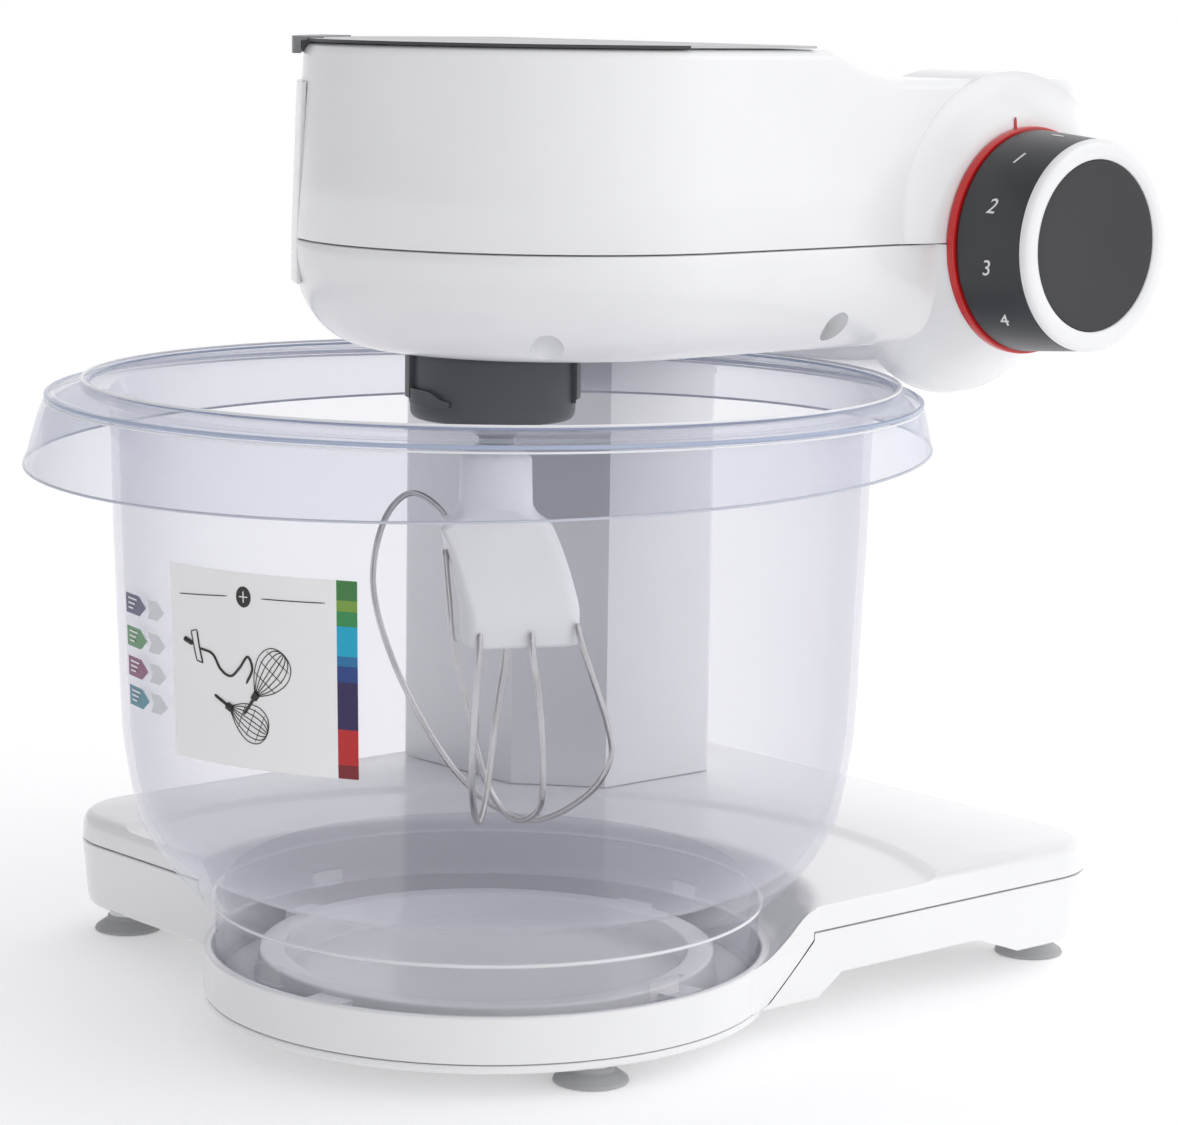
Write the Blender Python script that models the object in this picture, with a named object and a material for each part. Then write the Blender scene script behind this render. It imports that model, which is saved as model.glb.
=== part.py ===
"""Tilt-arm stand mixer with a clear bowl, as separate named pieces on real joint axes.

Lengths are in millimetres and become metres where a mesh is made. The working frame has its origin on
the floor under the bowl's axis: +X runs from the bowl to the back of the arm, +Y away from the speed
knob, and +Z up. The empty "mixer" carries everything and moves the origin to the middle of the footprint.
"""

import math

import bmesh
import bpy
from mathutils import Matrix, Vector

MM = 0.001
GAP = 0.3  # between pieces that touch
WALL = 2.8  # moulded shells
ROUND = 44  # sides of the large turned shapes

# Platform
WING_X = (-44.0, 200.0)
WING_Y = (-74.5, 172.0)
WING_CORNER = 27.0
WING_TOP = 41.0
WING_SEAM = 32.0
LEG_BOTTOM = 10.8
CRADLE_RADIUS = 84.5
CRADLE_LIP = 25.0
CRADLE_FLOOR = 14.6
CRADLE_SEAM = 11.4
CRADLE_BOTTOM = 8.4
DISH_RADIUS = 97.0
DISH_FLOOR = 39.5
RECESS_RADIUS = 132.0
ARCH_X = (69.0, 77.0, 136.0, 158.0)
ARCH_TOP = 18.0
FOOT_PLACES = {
    "front": (-15.4, -66.0),
    "right": (188.0, -47.5),
    "left": (-25.8, 154.0),
    "rear": (182.0, 152.0),
}
FOOT_RADIUS = 11.0
BASE_SCREWS = ((180.0, -20.0), (180.0, 118.0), (-27.0, 128.0), (-27.0, 100.0))

# Arm
PIVOT_X = 141.0
PIVOT_Z = 234.0
ARM_NOSE_X = 20.0
ARM_HALF_WIDTH = 75.0
ARM_REAR_X = 186.0
ARM_REAR_CORNER = 22.0
ARM_BOTTOM = 202.6
ARM_TOP = 290.2
ARM_REAR_TOP = 281.6
STEP_X = (64.0, 97.0)
DRAFT = 3.5
FILLET_WIDTH = 22.0
FILLET_HEIGHT = 28.0
DRUM_RADIUS = 48.6
DRUM_HALF = 71.6  # half of its length
WAIST_RADIUS = 44.6
WAIST_HALF = 45.0
DRUM_DOME = ((33.4, -78.0), (36.0, -72.0), (39.6, -65.0), (43.8, -59.0), (47.4, -54.0),
             (DRUM_RADIUS, -49.0))
BOSS_FAR_Y = 79.4
CHEEK_Y = -78.0

# Column beside the arm
COLUMN_X = (95.0, 165.0)
COLUMN_Y = (80.0, 165.0)
COLUMN_HEAD_RADIUS = 46.0
COLUMN_SEAM_Y = 122.5
COVE_RADIUS = 141.0

# Drive
CHASSIS_SCREWS = ((60.0, -40.0), (165.0, 40.0))
HUB_RADIUS = 24.2
HUB_BOTTOM = 182.0
TOOL_OFFSET = (-6.7, -10.1)
PLANET_TEETH, RING_TEETH = 12, 31
MOTOR_Y = 34.0
MOTOR_Z = 248.0

# Knob
KNOB_RADIUS = 31.2
KNOB_ROOT_RADIUS = 33.0
KNOB_ROOT_Y = -81.3
KNOB_TRIM_Y = -104.6

# Bowl and splash ring
BOWL_WALL = 2.4
BOWL_OUTSIDE = [
    (81.0, 15.0), (81.0, 37.0), (82.4, 39.6), (87.5, 44.6), (94.9, 51.8), (100.3, 59.6),
    (104.6, 69.4), (107.4, 85.7), (108.1, 98.0), (110.3, 152.0), (111.0, 183.0), (112.6, 187.6),
    (118.6, 190.0), (118.8, 191.4),
]
BOWL_FLOOR = 48.6
RING_INNER = 117.0
RING_TOP = 193.6
RING_EDGE = (127.0, 188.8)
SKIRT_RADIUS = 132.4
SKIRT_LOW = 172.8
SKIRT_TILT = 4.2
SKIRT_LOWEST = 175.0  # plan angle where the skirt hangs deepest
RING_SHIFT = 3.8  # how far the skirt is off the bowl's axis
RING_SHIFT_ANGLE = 139.1

# Directions in plan, of the two drive covers on the arm's nose, from -X towards +Y
COVER_ANGLES = (24.0, 72.0)
COVER_OUTER = 75.0
COVER_THICK = 1.4
COVER_Z = (221.0, 279.0)
COVER_LEAN = 1.5  # how much less its radius is at its top


def material(name, color, roughness, metallic=0.0, alpha=1.0):
    made = bpy.data.materials.new(name)
    made.use_nodes = True
    shader = made.node_tree.nodes["Principled BSDF"]
    shader.inputs["Base Color"].default_value = (*color, 1.0)
    shader.inputs["Roughness"].default_value = roughness
    shader.inputs["Metallic"].default_value = metallic
    shader.inputs["Alpha"].default_value = alpha
    made.diffuse_color = (*color, alpha)
    return made


# ---------------------------------------------------------------- mesh helpers


def arc(cx, cy, radius, start, end, count):
    """Points on a circle from one angle to another, in degrees."""
    points = []
    for i in range(count + 1):
        angle = math.radians(start + (end - start) * i / count)
        points.append((cx + radius * math.cos(angle), cy + radius * math.sin(angle)))
    return points


def rounded_rectangle(x_range, y_range, radius, inset=0.0, count=6):
    x0, x1 = x_range[0] + inset, x_range[1] - inset
    y0, y1 = y_range[0] + inset, y_range[1] - inset
    r = max(radius - inset, 0.5)
    points = arc(x1 - r, y1 - r, r, 0, 90, count)
    points += arc(x0 + r, y1 - r, r, 90, 180, count)
    points += arc(x0 + r, y0 + r, r, 180, 270, count)
    points += arc(x1 - r, y0 + r, r, 270, 360, count)
    return points


def mesh_from(points, faces):
    bm = bmesh.new()
    verts = [bm.verts.new(Vector(p) * MM) for p in points]
    for face in faces:
        bm.faces.new([verts[i] for i in face])
    bmesh.ops.recalc_face_normals(bm, faces=bm.faces)
    mesh = bpy.data.meshes.new("mesh")
    bm.to_mesh(mesh)
    bm.free()
    return mesh


def tube_faces(rows, count, closed_rows=False):
    """Quads between rings of the same number of points."""
    faces = []
    last = rows if closed_rows else rows - 1
    for row in range(last):
        low, high = row * count, ((row + 1) % rows) * count
        for i in range(count):
            j = (i + 1) % count
            faces.append((low + i, low + j, high + j, high + i))
    return faces


def loft(loops):
    """A solid through closed loops of the same length, capped flat at both ends."""
    count = len(loops[0])
    points = [p for loop in loops for p in loop]
    faces = tube_faces(len(loops), count)
    faces.append(tuple(reversed(range(count))))
    faces.append(tuple(range(len(points) - count, len(points))))
    return mesh_from(points, faces)


def prism(outline, low, high):
    return loft([[(x, y, z) for x, y in outline] for z in (low, high)])


def prism_y(outline, low, high):
    """Extrudes an XZ outline along Y."""
    return loft([[(x, y, z) for x, z in outline] for y in (low, high)])


def box(low, high):
    x0, y0, z0 = low
    x1, y1, z1 = high
    return prism([(x0, y0), (x1, y0), (x1, y1), (x0, y1)], z0, z1)


def turned(profile, count=20, center=(0.0, 0.0), start=0.0):
    """A closed profile of (radius, z) turned about a vertical axis. Radius 0 makes a pole."""
    points, faces, rings = [], [], []
    for radius, z in profile:
        first = len(points)
        if radius < 1e-6:
            points.append((center[0], center[1], z))
            rings.append([first] * count)
            continue
        for i in range(count):
            angle = math.radians(start) + math.tau * i / count
            points.append((center[0] + radius * math.cos(angle), center[1] + radius * math.sin(angle), z))
        rings.append(list(range(first, first + count)))
    for a, b in zip(rings, rings[1:] + rings[:1]):
        for i in range(count):
            j = (i + 1) % count
            corners = list(dict.fromkeys((a[i], a[j], b[j], b[i])))
            if len(corners) > 2:
                faces.append(corners)
    return mesh_from(points, faces)


def turned_about(profile, axis, place, count=32):
    """The same, about a line along X or Y through a place; the profile's z runs along that axis."""
    mesh = turned(profile, count)
    turn = Matrix.Rotation(math.radians(90), 4, "Y" if axis == "X" else "X")
    if axis == "Y":
        turn = Matrix.Rotation(math.radians(-90), 4, "X")
    mesh.transform(Matrix.Translation(Vector(place) * MM) @ turn)
    return mesh


def tube(path, radius, sides=8):
    """A round wire along a smooth path, with flat ends."""
    path = [Vector(p) for p in path]
    loops = []
    side = None
    for i, p in enumerate(path):
        along = (path[min(i + 1, len(path) - 1)] - path[max(i - 1, 0)]).normalized()
        if side is None:
            side = along.orthogonal().normalized()
        side = (side - along * side.dot(along)).normalized()
        other = along.cross(side)
        loops.append([
            p + side * radius * math.cos(math.tau * k / sides) + other * radius * math.sin(math.tau * k / sides)
            for k in range(sides)
        ])
    return loft(loops)


def smooth_path(knots, per_span=6):
    """Catmull-Rom curve through the knots."""
    knots = [Vector(k) for k in knots]
    ends = [knots[0] * 2 - knots[1]] + knots + [knots[-1] * 2 - knots[-2]]
    path = []
    for a, b, c, d in zip(ends, ends[1:], ends[2:], ends[3:]):
        for i in range(per_span):
            t = i / per_span
            path.append(0.5 * (2 * b + (c - a) * t + (2 * a - 5 * b + 4 * c - d) * t**2
                               + (3 * b - a - 3 * c + d) * t**3))
    return path + [knots[-1]]


def combine(first, *others, operation="DIFFERENCE"):
    """One mesh from Boolean operations of the first with each of the others."""
    body = bpy.data.objects.new("body", first)
    bpy.context.collection.objects.link(body)
    for mesh in others:
        tool = bpy.data.objects.new("tool", mesh)
        bpy.context.collection.objects.link(tool)
        step = body.modifiers.new("step", "BOOLEAN")
        step.operation = operation
        step.object = tool
        graph = bpy.context.evaluated_depsgraph_get()
        result = bpy.data.meshes.new_from_object(body.evaluated_get(graph))
        body.modifiers.clear()
        body.data = result
        bpy.data.objects.remove(tool)
    result = body.data
    bpy.data.objects.remove(body)
    bm = bmesh.new()
    bm.from_mesh(result)
    bmesh.ops.remove_doubles(bm, verts=bm.verts, dist=0.000002)
    bmesh.ops.dissolve_degenerate(bm, dist=0.000002, edges=bm.edges)
    bm.to_mesh(result)
    bm.free()
    return result


def join(first, *others):
    return combine(first, *others, operation="UNION")


def meet(first, *others):
    return combine(first, *others, operation="INTERSECT")


class Assembly:
    """Names each piece, and hangs it on the empty at its joint."""

    def __init__(self):
        self.root = self.empty("mixer", (0, 0, 0), None)

    def empty(self, name, place, parent):
        made = bpy.data.objects.new(name, None)
        bpy.context.collection.objects.link(made)
        made.empty_display_size = 0.02
        made["place"] = place
        if parent:
            made.parent = parent
            made.location = (Vector(place) - Vector(parent["place"])) * MM
        return made

    def piece(self, name, mesh, finish, joint=None):
        joint = joint or self.root
        mesh.name = name
        mesh.transform(Matrix.Translation(-Vector(joint["place"]) * MM))
        mesh.materials.clear()
        mesh.materials.append(finish)
        mesh.shade_smooth()
        mesh.set_sharp_from_angle(angle=math.radians(32))
        made = bpy.data.objects.new(name, mesh)
        bpy.context.collection.objects.link(made)
        made.parent = joint
        return made


# ---------------------------------------------------------------- platform


def wing_block(levels):
    """The platform's rounded rectangle through levels of (z, inset)."""
    loops = []
    for z, inset in levels:
        outline = rounded_rectangle(WING_X, WING_Y, WING_CORNER, inset)
        loops.append([(x, y, z) for x, y in outline])
    return loft(loops)


def platform_top():
    seam = WING_SEAM + GAP
    block = wing_block([(seam, 0.0), (37.6, 0.5), (39.8, 1.5), (WING_TOP, 3.6)])
    hollow = wing_block([(seam - 2, WALL), (WING_TOP - 4.2, WALL + 0.6)])
    keep = turned([(0, seam - 5), (98.5, seam - 5), (98.5, 60), (0, 60)], ROUND)
    shell = combine(block, combine(hollow, keep))
    above_dish = turned([(0, CRADLE_SEAM - 4), (83.5, CRADLE_SEAM - 4), (83.5, CRADLE_LIP),
                         (84.5, CRADLE_LIP),
                         (DISH_RADIUS, DISH_FLOOR), (RECESS_RADIUS, DISH_FLOOR), (136.0, 40.0),
                         (140.0, 41.4), (140.0, 60), (0, 60)], ROUND)
    shell = combine(shell, above_dish)
    ramp = turned([(83.0, CRADLE_SEAM), (84.5, CRADLE_SEAM), (98.6, WING_SEAM - 0.6),
                   (98.8, DISH_FLOOR - 0.8),
                   (DISH_RADIUS + 0.4, DISH_FLOOR - 0.2), (84.5, CRADLE_LIP), (83.0, CRADLE_LIP)], ROUND)
    within = wing_block([(CRADLE_SEAM - 1, 0.3), (60, 0.3)])
    shell = join(shell, meet(ramp, within))
    cup = turned([(0, CRADLE_SEAM), (CRADLE_RADIUS, CRADLE_SEAM), (CRADLE_RADIUS, CRADLE_LIP - 1.0),
                  (CRADLE_RADIUS - 0.9, CRADLE_LIP + 0.05), (82.2, CRADLE_LIP + 0.05),
                  (81.6, CRADLE_LIP - 1.0),
                  (81.6, CRADLE_FLOOR), (69.0, CRADLE_FLOOR), (68.0, 23.5), (63.0, 23.5),
                  (62.0, CRADLE_FLOOR + 1), (0, CRADLE_FLOOR + 1)], ROUND)
    shell = join(shell, cup)
    for k in range(4):
        lug = box((66.0, -6.0, 19.0), (75.5, 6.0, 22.0))
        lug.transform(Matrix.Rotation(math.radians(90 * k + 12), 4, "Z"))
        shell = join(shell, lug)
    return shell


def platform_bottom():
    block = wing_block([(LEG_BOTTOM, 2.6), (14.0, 1.6), (WING_SEAM, 0.0)])
    hollow = wing_block([(ARCH_TOP + 3.2, WALL + 1.0), (WING_SEAM + 3, WALL)])
    a, b, c, d = ARCH_X
    arch = prism_y([(a, 5), (a, 12), (b, ARCH_TOP), (c, ARCH_TOP), (d, LEG_BOTTOM - 0.6), (d, 5)], -100,
                   200)
    low = CRADLE_SEAM - GAP
    under_dish = turned([(0, low), (84.8, low), (98.9, WING_SEAM - 1.2), (98.9, 50), (0, 50)], ROUND)
    shell = combine(block, hollow, arch, under_dish)
    for place in BASE_SCREWS:
        sink = turned([(0, LEG_BOTTOM - 1), (4.0, LEG_BOTTOM - 1), (4.0, LEG_BOTTOM + 2.9),
                       (1.8, LEG_BOTTOM + 2.9),
                       (1.8, ARCH_TOP + 6), (0, ARCH_TOP + 6)], 16, place)
        shell = combine(shell, sink)
    disc = turned([(0, CRADLE_BOTTOM), (82.6, CRADLE_BOTTOM), (84.0, CRADLE_BOTTOM + 0.8), (84.0, low),
                   (0, low)], ROUND)
    return join(shell, disc)


def foot(place, top):
    """A suction foot: a thin flared rubber cup under a short neck."""
    return turned([(0, 2.0), (6.5, 1.2), (FOOT_RADIUS - 1.0, 0.0), (FOOT_RADIUS, 0.5),
                   (FOOT_RADIUS - 0.6, 1.6),
                   (7.4, 3.4), (6.4, 5.0), (6.4, top), (0, top)], 16, place)


# ---------------------------------------------------------------- column


def column_outline(inset):
    """The column's side view: a pillar with a round head about the arm's pivot."""
    r = COLUMN_HEAD_RADIUS - inset
    x0, x1 = COLUMN_X[0] + inset, COLUMN_X[1] - inset
    low = WING_TOP + GAP + inset
    points = [(x0, low)] + [(x, z) for x, z in arc(PIVOT_X, PIVOT_Z, r, 180, -50, 20)]
    end_x, end_z = points[-1]
    points += [(x1 + 0.35 * (end_x - x1), end_z - 8.0), (x1, end_z - 28.0), (x1, low)]
    return points


def column_half(y0, y1, wall_y):
    """Half of the column's casing, open on its inner side."""
    shell = prism_y(column_outline(0.0), y0, y1)
    inner = prism_y(column_outline(WALL), *wall_y)
    bowl_side = turned([(0, 20), (COVE_RADIUS + WALL, 20), (COVE_RADIUS + WALL, 320), (0, 320)], ROUND)
    cove = turned([(0, 20), (COVE_RADIUS, 20), (COVE_RADIUS, 320), (0, 320)], ROUND)
    return combine(shell, cove, combine(inner, bowl_side))


def rod_y(radius, y0, y1, count=20, x=PIVOT_X, z=PIVOT_Z):
    mesh = prism_y(arc(0, 0, radius, 0, 360 - 360 / count, count - 1), y0, y1)
    mesh.transform(Matrix.Translation(Vector((x, 0, z)) * MM))
    return mesh


def rod_x(radius, x0, x1, y, z, count=18):
    outline = arc(0, 0, radius, 0, 360 - 360 / count, count - 1)
    return loft([[(x, y + a, z + b) for a, b in outline] for x in (x0, x1)])


def rod_z(radius, z0, z1, x=0.0, y=0.0, count=18):
    return prism(arc(x, y, radius, 0, 360 - 360 / count, count - 1), z0, z1)


# ---------------------------------------------------------------- arm


def arm_outline(inset):
    """Pairs of points (x, half width) from the round nose to the flat rear."""
    r = ARM_HALF_WIDTH - inset
    rear = ARM_REAR_X - inset
    pairs = [(ARM_NOSE_X - r * math.cos(a), r * math.sin(a)) for a in
             (math.radians(90 * i / 9) for i in range(10))]
    pairs += [(x, r) for x in (42.0, 64.0, 80.5, 97.0, 140.0)]
    corner = ARM_REAR_CORNER - inset * 0.5
    pairs += [(x, y) for x, y in reversed(arc(rear - corner, r - corner, corner, 0, 90, 5))]
    return pairs


def arm_solid(levels):
    """A solid through levels of (z or z at x, inset), with its two caps as strips across the arm."""
    points, faces = [], []
    for height, inset in levels:
        pairs = arm_outline(inset)
        for x, y in pairs:
            points.append((x, y, height(x) if callable(height) else height))
        for x, y in reversed(pairs[1:]):
            points.append((x, -y, height(x) if callable(height) else height))
    half = len(arm_outline(0))
    count = 2 * half - 1
    faces = tube_faces(len(levels), count)
    for base in (0, count * (len(levels) - 1)):
        faces.append((base, base + 1, base + count - 1))
        for i in range(1, half - 1):
            faces.append((base + i, base + i + 1, base + count - i - 1, base + count - i))
    return mesh_from(points, faces)


def arm_top(x):
    """Height of the arm's top, which steps down over the pivot."""
    t = min(max((x - STEP_X[0]) / (STEP_X[1] - STEP_X[0]), 0), 1)
    return ARM_TOP + (ARM_REAR_TOP - ARM_TOP) * (3 * t * t - 2 * t**3)


def upper_levels(grow):
    """Levels of the upper shell, from its seam to its top, grown inwards by a wall."""
    seam = PIVOT_Z + GAP / 2 - (3 if grow else 0)
    levels = [(seam, grow)]
    for part, inset in ((0.5, 0.5 * DRAFT), (0.93, DRAFT)):
        levels.append((lambda x, part=part: seam + part * (arm_top(x) - grow - seam), inset + grow))
    levels.append((lambda x: arm_top(x) - grow, DRAFT + 2.4 + grow))
    return levels


def lower_levels(grow):
    """Levels of the lower shell, from its seam down round its fillet to the flat underside."""
    levels = [(PIVOT_Z - GAP / 2 + (3 if grow else 0), grow)]
    for k in range(1, 6):
        angle = math.radians(90 * k / 5)
        z = ARM_BOTTOM + FILLET_HEIGHT * (1 - math.sin(angle))
        inset = FILLET_WIDTH * (1 - math.cos(angle))
        levels.append((z + grow, inset + grow))
    return levels


def cheek(side):
    """The low dome round the knob's shaft, or the flat boss towards the column."""
    if side < 0:
        profile = [(0, 68.0), (46.0, 68.0), (45.0, 75.4), (42.5, 76.6), (38.0, 77.6), (34.0, -CHEEK_Y),
                   (0, -CHEEK_Y)]
    else:
        profile = [(0, 68.0), (39.0, 68.0), (39.0, BOSS_FAR_Y - 1), (38.0, BOSS_FAR_Y), (0, BOSS_FAR_Y)]
    mesh = turned(profile, 32)
    turn = Matrix.Rotation(math.radians(90 if side < 0 else -90), 4, "X")
    mesh.transform(Matrix.Translation(Vector((PIVOT_X, 0, PIVOT_Z)) * MM) @ turn)
    return mesh


def side_holes():
    """Bores for the knob's shaft and for the pivot shaft."""
    return rod_y(6.0, -90, -60, 24), rod_y(10.0, 60, 90, 24)


def upper_shell():
    above = box((-100, -120, PIVOT_Z + GAP / 2), (300, 120, 400))
    shell = arm_solid(upper_levels(0))
    for side in (-1, 1):
        shell = join(shell, meet(cheek(side), above))
    shell = combine(shell, arm_solid(upper_levels(WALL)), *side_holes())
    top_hole = rod_z(19.0, ARM_TOP - 10, ARM_TOP + 10, count=32)
    nose_hole = rod_x(11.5, 55, 90, 0, 256.0)
    nose_hole.transform(cover_turn())
    return combine(shell, top_hole, nose_hole, cover_recess())


def cover_turn():
    """Carries +X about the nose's centre to the middle of the front drive cover."""
    middle = math.radians(180 - sum(COVER_ANGLES) / 2)
    return Matrix.Translation((ARM_NOSE_X * MM, 0, 0)) @ Matrix.Rotation(middle, 4, "Z")


def drum_solid(wall):
    """The round housing of the pivot: domed at the knob, waisted where the arm swings over the splash ring."""
    near = [(radius - wall, y + wall) for radius, y in DRUM_DOME]
    waist = [(WAIST_RADIUS - wall, -WAIST_HALF), (WAIST_RADIUS - wall, WAIST_HALF)]
    far = [(DRUM_RADIUS - wall, WAIST_HALF + 4), (DRUM_RADIUS - wall, DRUM_HALF - wall)]
    profile = [(0, near[0][1])] + near + waist + far + [(0, DRUM_HALF - wall)]
    return turned_about(profile, "Y", (PIVOT_X, 0, PIVOT_Z), 36)


def nose_plate(r_in, r_out, grow=0.0):
    """A curved plate over the nose that leans back with the shell above its seam."""
    low, high = 180 - COVER_ANGLES[0] + grow, 180 - COVER_ANGLES[1] - grow
    z0, z1 = COVER_Z
    loops = []
    for z, lean in ((z0 - grow, 0), (PIVOT_Z, 0), (z1 + grow, COVER_LEAN)):
        outline = (arc(ARM_NOSE_X, 0, r_out - lean, low, high, 10)
                   + arc(ARM_NOSE_X, 0, r_in - lean, high, low, 10))
        loops.append([(x, y, z) for x, y in outline])
    return loft(loops)


def cover_recess():
    """The shallow seat of the front drive cover."""
    return nose_plate(COVER_OUTER - COVER_THICK - GAP, COVER_OUTER + 8, GAP)


def lower_shell():
    below = box((-100, -120, 100), (300, 120, PIVOT_Z - GAP / 2))
    shell = arm_solid(lower_levels(0))
    drum = drum_solid(0)
    shell = join(shell, meet(drum, below))
    shell = join(shell, meet(cheek(1), below))
    shell = combine(shell, arm_solid(lower_levels(WALL)), drum_solid(WALL), *side_holes())
    hub_hole = rod_z(18.2, ARM_BOTTOM - 5, ARM_BOTTOM + 5, count=32)
    side_notch = rod_y(4.4, -84, -62, 20, x=72.5, z=ARM_BOTTOM + 7.9)
    profile = [(0, ARM_BOTTOM - 1), (4.7, ARM_BOTTOM - 1), (4.7, ARM_BOTTOM + 7), (0, ARM_BOTTOM + 11)]
    return combine(shell, hub_hole, cover_recess(), side_notch, turned(profile, 20, (-21.3, -49.6)))


def nose_sector(r_in, r_out, angles, z_low, z_high, count=10):
    """A curved plate round the arm's nose between two angles from -X towards +Y."""
    low, high = 180 - angles[0], 180 - angles[1]
    outline = arc(ARM_NOSE_X, 0, r_out, low, high, count) + arc(ARM_NOSE_X, 0, r_in, high, low, count)
    return prism(outline, z_low, z_high)


def top_cover():
    """The flat drive cover on the arm's top, with a finger lip over the nose."""
    pairs = [(x, y) for x, y in arm_outline(DRAFT + 2.0) if x < 50]
    outline = pairs + [(60.0, pairs[-1][1]), (60.0, -pairs[-1][1])]
    outline += [(x, -y) for x, y in reversed(pairs[1:])]
    plate = prism(outline, ARM_TOP + GAP, ARM_TOP + 1.3)
    lip = nose_sector(72.8, 74.6, (30, 66), ARM_TOP - 3.4, ARM_TOP + 1.5)
    bridge = nose_sector(66.0, 74.2, (30, 66), ARM_TOP + GAP + 0.1, ARM_TOP + 1.4)
    return join(plate, bridge, lip)


def front_cover():
    """The removable cover over the second drive, seated in the nose."""
    face = nose_plate(COVER_OUTER - COVER_THICK, COVER_OUTER)
    plug = rod_x(10.6, 70.5, COVER_OUTER - 0.8, 0, 256.0)
    plug.transform(cover_turn())
    return join(face, plug)


# ---------------------------------------------------------------- turning pieces


def gear(teeth, outer, root, bore, z0, z1, center=(0.0, 0.0)):
    """A spur gear blank with plain straight-sided teeth."""
    outline = []
    for k in range(teeth):
        for part, radius in ((0.0, root), (0.3, outer), (0.6, outer), (0.9, root)):
            angle = math.tau * (k + part) / teeth
            outline.append((center[0] + radius * math.cos(angle), center[1] + radius * math.sin(angle)))
    blank = prism(outline, z0, z1)
    return combine(blank, rod_z(bore, z0 - 1, z1 + 1, *center))


def internal_gear(teeth, outer, tip, root, z0, z1):
    blank = rod_z(outer, z0, z1, count=36)
    return combine(blank, gear_cutter(teeth, tip, root, z0 - 1, z1 + 1))


def gear_cutter(teeth, tip, root, z0, z1):
    outline = []
    for k in range(teeth):
        for part, radius in ((0.0, tip), (0.3, root), (0.6, root), (0.9, tip)):
            angle = math.tau * (k + part) / teeth
            outline.append((radius * math.cos(angle), radius * math.sin(angle)))
    return prism(outline, z0, z1)



def ring_y(outer, inner, y0, y1, count=20):
    return combine(rod_y(outer, y0, y1, count), rod_y(inner, y0 - 1, y1 + 1, count))


def ring_x(outer, inner, x0, x1, y, z, count=18):
    return combine(rod_x(outer, x0, x1, y, z, count), rod_x(inner, x0 - 1, x1 + 1, y, z, count))


def drive_hub():
    """The turning hub under the arm: a drum with a rounded foot, two bayonet hooks and the tool's bore."""
    drum = turned([(0, HUB_BOTTOM), (21.8, HUB_BOTTOM), (23.5, HUB_BOTTOM + 0.8),
                   (HUB_RADIUS, HUB_BOTTOM + 2.6),
                   (HUB_RADIUS, ARM_BOTTOM - 0.6), (17.4, ARM_BOTTOM - 0.6), (17.4, 212.0), (0, 212.0)], 32)
    arm_angle = math.radians(-130.9)
    for turn, width in ((-52, 0.52), (52, 0.26)):
        middle = arm_angle + math.radians(turn)
        hook = nose_free_sector(HUB_RADIUS - 0.6, HUB_RADIUS + 1.5, middle - width / 2, middle + width / 2,
                                HUB_BOTTOM + 7.0, HUB_BOTTOM + 10.4)
        riser = nose_free_sector(HUB_RADIUS - 0.6, HUB_RADIUS + 1.5, middle - width / 2,
                                 middle - width / 2 + 0.11,
                                 HUB_BOTTOM + 9.6, ARM_BOTTOM - 1.0)
        drum = join(drum, join(hook, riser))
    socket = rod_z(4.4, HUB_BOTTOM - 2, 214, *TOOL_OFFSET)
    well = turned([(0, HUB_BOTTOM - 2), (12.2, HUB_BOTTOM - 2), (11.2, HUB_BOTTOM + 6),
                   (0, HUB_BOTTOM + 6)],
                  32, (TOOL_OFFSET[0] * 0.85, TOOL_OFFSET[1] * 0.85))
    return combine(drum, socket, well)


def nose_free_sector(r_in, r_out, start, end, z0, z1, count=6):
    a, b = math.degrees(start), math.degrees(end)
    return prism(arc(0, 0, r_out, a, b, count) + arc(0, 0, r_in, b, a, count), z0, z1)


VIEW_SIDE = Vector((0.756, -0.654))  # across the whisk's wide face
VIEW_DEEP = Vector((0.654, 0.756))


def whisk_point(u, v, z):
    """A point of the whisk: u across its wide face, v through it, from the spindle's axis."""
    plan = Vector(TOOL_OFFSET) + VIEW_SIDE * u + VIEW_DEEP * v
    return (plan.x, plan.y, z)


def rounded_quad(corners, radii, steps):
    """A four-sided outline with its corners cut round."""
    outline = []
    for i, corner in enumerate(corners):
        here, before, after = Vector(corner), Vector(corners[i - 1]), Vector(corners[(i + 1) % 4])
        start = here + (before - here).normalized() * radii[i]
        end = here + (after - here).normalized() * radii[i]
        for k in range(steps + 1):
            t = k / steps
            outline.append(start * (1 - t) ** 2 + here * 2 * t * (1 - t) + end * t**2)
    return outline


def whisk_body():
    """The moulded head that holds the wires: a slab turned from the camera, which leans as it goes down."""
    loops = []
    for z, corners in WHISK_SECTIONS:
        outline = rounded_quad(corners, WHISK_CORNERS, 3)
        loops.append([whisk_point(q.x, q.y, z) for q in outline])
    return loft(loops)


WHISK_CORNERS = (3.0, 6.0, 7.0, 5.0)
WHISK_SECTIONS = (
    # height, then its corners (u, v): front left, front right, back right, back left
    (154.0, ((-14.0, -8.0), (16.0, -1.0), (12.0, 12.0), (-15.5, 8.5))),
    (151.5, ((-15.5, -9.7), (18.2, -1.6), (13.4, 13.0), (-17.0, 9.0))),
    (146.0, ((-12.6, -12.0), (20.8, -3.0), (15.5, 12.0), (-16.0, 8.0))),
    (139.0, ((-10.0, -14.0), (23.5, -4.5), (18.0, 9.5), (-14.2, 5.0))),
    (132.0, ((-7.7, -15.2), (25.6, -5.5), (20.5, 7.0), (-12.4, 2.0))),
    (127.0, ((-6.5, -15.6), (26.5, -5.8), (21.5, 6.0), (-11.4, 0.5))),
    (118.6, ((-6.2, -15.6), (26.5, -5.8), (21.5, 5.0), (-10.8, -0.5))),
    (117.6, ((-5.0, -14.2), (25.2, -5.0), (20.6, 3.8), (-9.4, -1.4))),
)
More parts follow.
